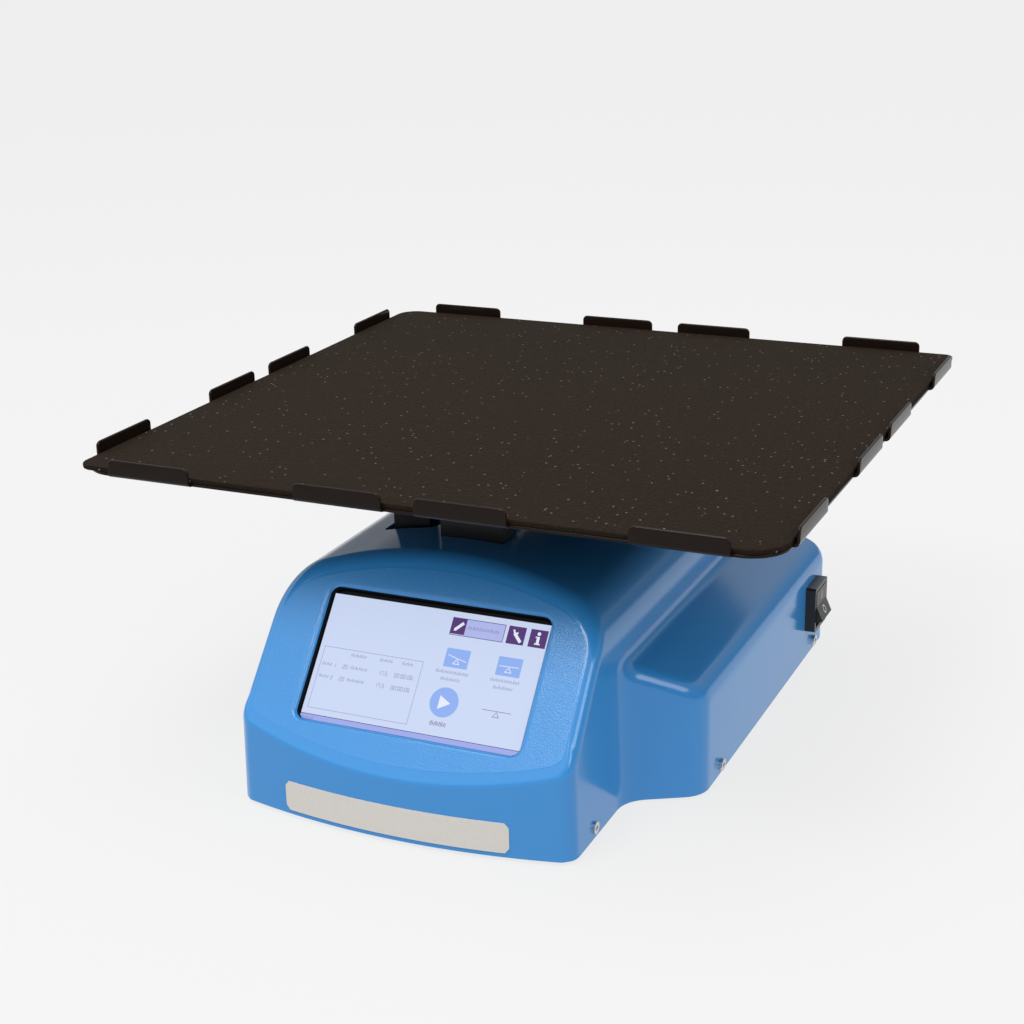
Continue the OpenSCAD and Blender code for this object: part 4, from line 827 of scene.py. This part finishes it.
def digits(text, x, y, pitch=1.45, w=0.9, h=1.9, width=0.2):
    # plain seven-bar numerals, with dots and colons
    m = h / 2
    bars = {"a": (0, 0, w, 0), "b": (w, 0, w, m), "c": (w, m, w, h), "d": (0, h, w, h),
            "e": (0, m, 0, h), "f": (0, 0, 0, m), "g": (0, m, w, m)}
    lit = {"0": "abcdef", "1": "bc", "2": "abged", "5": "afgcd", "6": "afgedc", "7": "abc"}
    out = []
    for mark in text:
        if mark in lit:
            out += [stroke(x + p, y + q, x + r, y + t, width) for p, q, r, t in (bars[k] for k in lit[mark])]
            x += pitch
        else:
            out.append(box(x + 0.1, y + h - 0.35, x + 0.45, y + h))
            if mark == ":":
                out.append(box(x + 0.1, y + 0.4, x + 0.45, y + 0.75))
            x += pitch * 0.5
    return out


def words(x0, x1, y, h=1.2, width=0.2):
    # unreadable lettering: short upright and level strokes, some a little taller
    out, x, k = [], x0, 0
    while x < x1 - 0.4:
        tall = (0.0, 0.6, 0.0, 0.0, 0.5, 0.0, 0.3)[k % 7]
        out.append(box(x, y - h / 2 - tall, x + width, y + h / 2))
        if k % 3 != 1:
            level = (-0.5, 0.3, 0.0)[k % 3] * h
            out.append(box(x + width, y + level, x + 0.62, y + level + width))
        x += (0.72, 0.66, 0.95)[k % 3]
        k += 1
    return out


def balance(x, y, half, tilt, width):
    # a beam on a triangle
    rise = half * math.tan(math.radians(tilt))
    lines = [(-half, -rise, half, rise), (-0.1, 0.5, -1.5, 2.8), (0.1, 0.5, 1.5, 2.8), (-1.8, 2.8, 1.8, 2.8)]
    return [stroke(x + p, y + q, x + r, y + t, width) for p, q, r, t in lines]


# places on the picture: the bar at the foot, the button row, two square buttons, the round one, the table
layout = dict(
    bar=60.8, pencil=(64.5, 3.2, 71.7, 11.0), label=(71.6, 3.2, 91.3, 11.3), button=(64.2, 2.9, 91.6, 11.6),
    wrench=(93.2, 2.9, 102.0, 11.6), dot=(104.3, 2.9, 113.0, 11.6), tilted=(65.4, 18.0, 77.6, 27.2),
    level=(92.1, 18.1, 104.3, 27.2), start=(70.9, 44.2, 7.25), table=(2.4, 26.6, 55.4, 57.6),
    rows=(35.4, 41.5),
)


def whiteSigns():
    # balances on the square buttons, a triangle on the round one, pencil, wrench, and a dot over a bar
    signs = balance(71.6, 22.6, 4.9, 14, 0.35) + balance(98.2, 22.6, 4.8, -1, 0.35)
    signs.append(np.array([[68.3, 47.8], [74.2, 44.4], [68.3, 41.1]]))
    signs += [stroke(66.6, 8.9, 70.3, 5.2, 1.5), np.array([[66.0, 9.5], [67.1, 9.4], [66.1, 8.4]])]
    signs += [stroke(96.6, 6.3, 100.4, 10.3, 1.5), stroke(95.9, 4.6, 96.9, 6.6, 0.9)]
    signs += [stroke(96.6, 6.8, 98.4, 5.9, 0.9), disc(108.7, 4.9, 0.9, 20), box(108.0, 6.3, 109.4, 10.2)]
    return signs + [box(107.3, 6.3, 108.0, 6.9), box(107.3, 9.6, 110.1, 10.2)]


def tableRows():
    # two numbered rows of plain numbers under three headings
    marks = []
    for number, y in zip("12", layout["rows"]):
        marks += words(3.7, 8.8, y) + digits(number, 10.0, y - 1) + digits("20", 14.8, y - 1)
        marks += words(18.9, 28.0, y) + digits("17.5", 34.0, y - 1) + digits("00:00:06", 42.4, y - 1)
    return marks + words(17.6, 25.8, 29.3) + words(33.0, 39.8, 29.3) + words(44.7, 50.8, 29.3)


def captions():
    # under the square buttons, in the bar, the small balance, under the round button, on the label
    marks = words(62.6, 79.6, 29.8) + words(66.0, 76.4, 33.2)
    marks += words(90.6, 105.4, 29.8) + words(92.8, 103.0, 33.2)
    marks += words(0.6, 7.6, 62.8) + balance(97.8, 44.3, 7.3, 0, 0.3)
    return marks + words(66.5, 75.1, 54.8, 1.8, 0.35) + words(73.0, 89.6, 7.3, 1.3, 0.22)


wide, high = screen["w"], screen["h"]
purple = [box(*layout[button]) for button in ("pencil", "wrench", "dot")]
purple += [box(0, layout["bar"] - 0.3, wide, layout["bar"])] + frameOf(*layout["button"], 0.3)
drawOnScreen("screenBase", [box(0, 0, wide, high)], display["base"], 0)
drawOnScreen("screenBar", [box(0, layout["bar"], wide, high)], display["lavender"], 1)
drawOnScreen("screenButton", [box(*layout["label"])], display["pale"], 1)
drawOnScreen("screenPurple", purple, display["purple"], 2)
drawOnScreen("screenBlue", [box(*layout["tilted"]), box(*layout["level"]), disc(*layout["start"])],
             display["blue"], 1)
drawOnScreen("screenWhite", whiteSigns(), display["white"], 3)
drawOnScreen("screenNumbers", tableRows(), display["ink"], 1)
drawOnScreen("screenLines", frameOf(*layout["table"], 0.32), display["line"], 1.5)
drawOnScreen("screenInk", captions(), display["ink"], 2.5)
print("screen done")


plate = dict(half=58.0, z0=4.3, z1=19.4, r=2.5, lift=0.45)


def plateOnBow():
    # rounded plate bent round the bowed front: height shrinks by a quarter round at the ends
    cols, rows = 60, 10
    u, w = np.meshgrid(np.linspace(-1, 1, cols + 1), np.linspace(-1, 1, rows + 1))
    halfH = (plate["z1"] - plate["z0"]) / 2
    r = plate["r"]
    x = u * plate["half"]
    over = np.maximum(np.abs(x) - (plate["half"] - r), 0)
    z = (plate["z0"] + plate["z1"]) / 2 + w * (halfH - (r - np.sqrt(np.maximum(r * r - over ** 2, 0))))
    y = lambda extra: house["bowY"] - np.sqrt((house["bowR"] + extra) ** 2 - x ** 2)
    face = np.stack([x, y(plate["lift"]), z], -1)
    back = np.stack([x, y(-0.1), z], -1)
    ring = lambda g: np.concatenate([g[0], g[1:, -1], g[-1, -2::-1], g[-2:0:-1, 0]])
    edge = np.stack([ring(face), ring(back)])
    front = (face.reshape(-1, 3), gridFaces(rows + 1, cols + 1))
    return joinParts([front, (edge.reshape(-1, 3), gridFaces(2, edge.shape[1], loop=True)[:, ::-1])])


v, q = plateOnBow()
makeObject("frontPlate", v, q, slots["cream_plate"], "base", ["front_label"], sharpDeg=40)


rocker = dict(
    x=118.4, y=86.5, z=31.5, face=7.8, turn=24.0,
    mark=6.0, lift=0.15, bar=(0.9, 4.4), ring=(2.35, 1.7), ringWide=0.92,
)


def switchMarks():
    # a bar on the pressed half, a ring on the raised half, both a hair above the rocker's faces
    r = rocker
    out = r["face"] + r["lift"]
    wide, high = r["bar"]
    corners = ((-1, -1), (1, -1), (1, 1), (-1, 1))
    bar = np.array([[out, s * wide / 2, r["mark"] + t * high / 2] for s, t in corners])
    a = np.linspace(0, 2 * math.pi, 41)[:-1]
    c, s = math.cos(math.radians(r["turn"])), math.sin(math.radians(r["turn"]))
    rings = []
    for radius in r["ring"][::-1]:
        down, aside = r["mark"] - radius * np.sin(a), radius * np.cos(a) * r["ringWide"]
        rings.append(np.stack([out * c + down * s, aside, out * s - down * c], -1))
    ring = (np.concatenate(rings), gridFaces(2, len(a), loop=True))
    v, q = joinParts([(bar, np.array([[0, 1, 2, 3]])), ring])
    return v + [r["x"], r["y"], r["z"]], q


v, q = switchMarks()
markWhite = plainPlastic("markWhite", (0.75, 0.75, 0.75), 0.5, 900, 0.00001, 0.05)
makeObject("switchMarks", v, q, markWhite, "rocker_switch", smooth=False)


# every node of the frame gets its finish, and the ones seen close by get softer edges
slotOf = {part["node"]: part["material_slot"] for part in frame["record"]["subparts"]}
softEdges = {
    "front_post": 1.2, "rear_post": 1.2, "link_bar": 0.8, "switch_body": 1.7, "switch_rocker": 0.7,
    "housing_screws": 0.3, "lever_bracket": 0.5,
}
for name, obj in frame["nodes"].items():
    obj.data.materials.clear()
    obj.data.materials.append(slots[slotOf[name]])
    if name in softEdges:
        bevel = obj.modifiers.new("softEdges", "BEVEL")
        bevel.width = softEdges[name] * mm
        bevel.segments = 3
        bevel.limit_method = "ANGLE"
        bevel.angle_limit = math.radians(40)
print("finishes done")


studio = dict(
    floorGlow=0.78, floorTint=0.085, floorHalf=40.0, sky=((0.0, 0.16), (0.5, 1.0), (0.12, 0.34)), tilt=0.5,
    key=((-0.22, -0.8, 1.6), 0.75, 14), fill=((1.3, -0.6, 1.0), 0.8, 6), top=((0.0, 0.3, 1.9), 1.2, 9),
    aim=(0, 0, 0.1),
)


def paleStage():
    # a flat pale floor that glows a little, so that it stays even and its shadows weak
    floorMat = newMaterial("paleFloor", (studio["floorTint"],) * 3, 0.7, Specular_IOR_Level=0.0)
    shader = floorMat.node_tree.nodes["Principled BSDF"]
    shader.inputs["Emission Color"].default_value = (1, 1, 1, 1)
    shader.inputs["Emission Strength"].default_value = studio["floorGlow"]
    corners = np.array([[-1, -1, 0], [1, -1, 0], [1, 1, 0], [-1, 1, 0]]) * studio["floorHalf"] / mm
    makeObject("paleFloor", corners, [[0, 1, 2, 3]], floorMat, smooth=False)


def paleSky():
    # light from all round: weak at the horizon, even from half way up, and stronger on the left
    world = bpy.data.worlds.new("studio")
    bpy.context.scene.world = world
    world.use_nodes = True
    nodes, links = world.node_tree.nodes, world.node_tree.links
    coords = nodes.new("ShaderNodeTexCoord")
    split = nodes.new("ShaderNodeSeparateXYZ")
    ramp = nodes.new("ShaderNodeValToRGB")
    aside = nodes.new("ShaderNodeMath")
    aside.operation = "MULTIPLY_ADD"
    aside.inputs[1].default_value, aside.inputs[2].default_value = -studio["tilt"], 1.0
    links.new(coords.outputs["Generated"], split.inputs["Vector"])
    links.new(split.outputs["Z"], ramp.inputs["Fac"])
    links.new(split.outputs["X"], aside.inputs[0])
    links.new(ramp.outputs["Color"], nodes["Background"].inputs["Color"])
    links.new(aside.outputs["Value"], nodes["Background"].inputs["Strength"])
    for k, (at, level) in enumerate(studio["sky"]):
        point = ramp.color_ramp.elements[k] if k < 2 else ramp.color_ramp.elements.new(at)
        point.position = at
        point.color = (level, level, level, 1)


def softLights():
    # three round lamps, each with its place, width and power, turned to the middle of the object
    for name in ("key", "fill", "top"):
        place, size, power = studio[name]
        lamp = bpy.data.lights.new(name + "Light", "AREA")
        lamp.shape = "DISK"
        lamp.size = size
        lamp.energy = power
        obj = bpy.data.objects.new(name + "Light", lamp)
        bpy.context.scene.collection.objects.link(obj)
        obj.location = place
        obj.rotation_euler = (Vector(studio["aim"]) - Vector(place)).to_track_quat("-Z", "Y").to_euler()


lens = dict(
    az=24.382, el=19.018, roll=-1.191, mm=1874.3 / 1024 * 36, sensor=36, at=(0.37252, -0.86561, 0.4272),
)


def addCamera():
    # round the upright axis by az, up by el, then rolled about its own view
    az, el, roll = math.radians(lens["az"]), math.radians(lens["el"]), math.radians(lens["roll"])
    back = Vector((math.sin(az) * math.cos(el), -math.cos(az) * math.cos(el), math.sin(el)))
    right = Vector((math.cos(az), math.sin(az), 0))
    up = right.cross(-back)
    r2 = math.cos(roll) * right + math.sin(roll) * up
    u2 = -math.sin(roll) * right + math.cos(roll) * up
    cam = bpy.data.cameras.new("camera")
    cam.lens = lens["mm"]
    cam.sensor_width = lens["sensor"]
    obj = bpy.data.objects.new("camera", cam)
    bpy.context.scene.collection.objects.link(obj)
    m = Matrix((r2, u2, back)).transposed().to_4x4()
    m.translation = Vector(lens["at"])
    obj.matrix_world = m
    cam.clip_start, cam.clip_end = 0.05, 50
    bpy.context.scene.camera = obj


paleStage()
paleSky()
softLights()
addCamera()
bpy.context.scene.view_settings.view_transform = "Standard"
print("studio done")
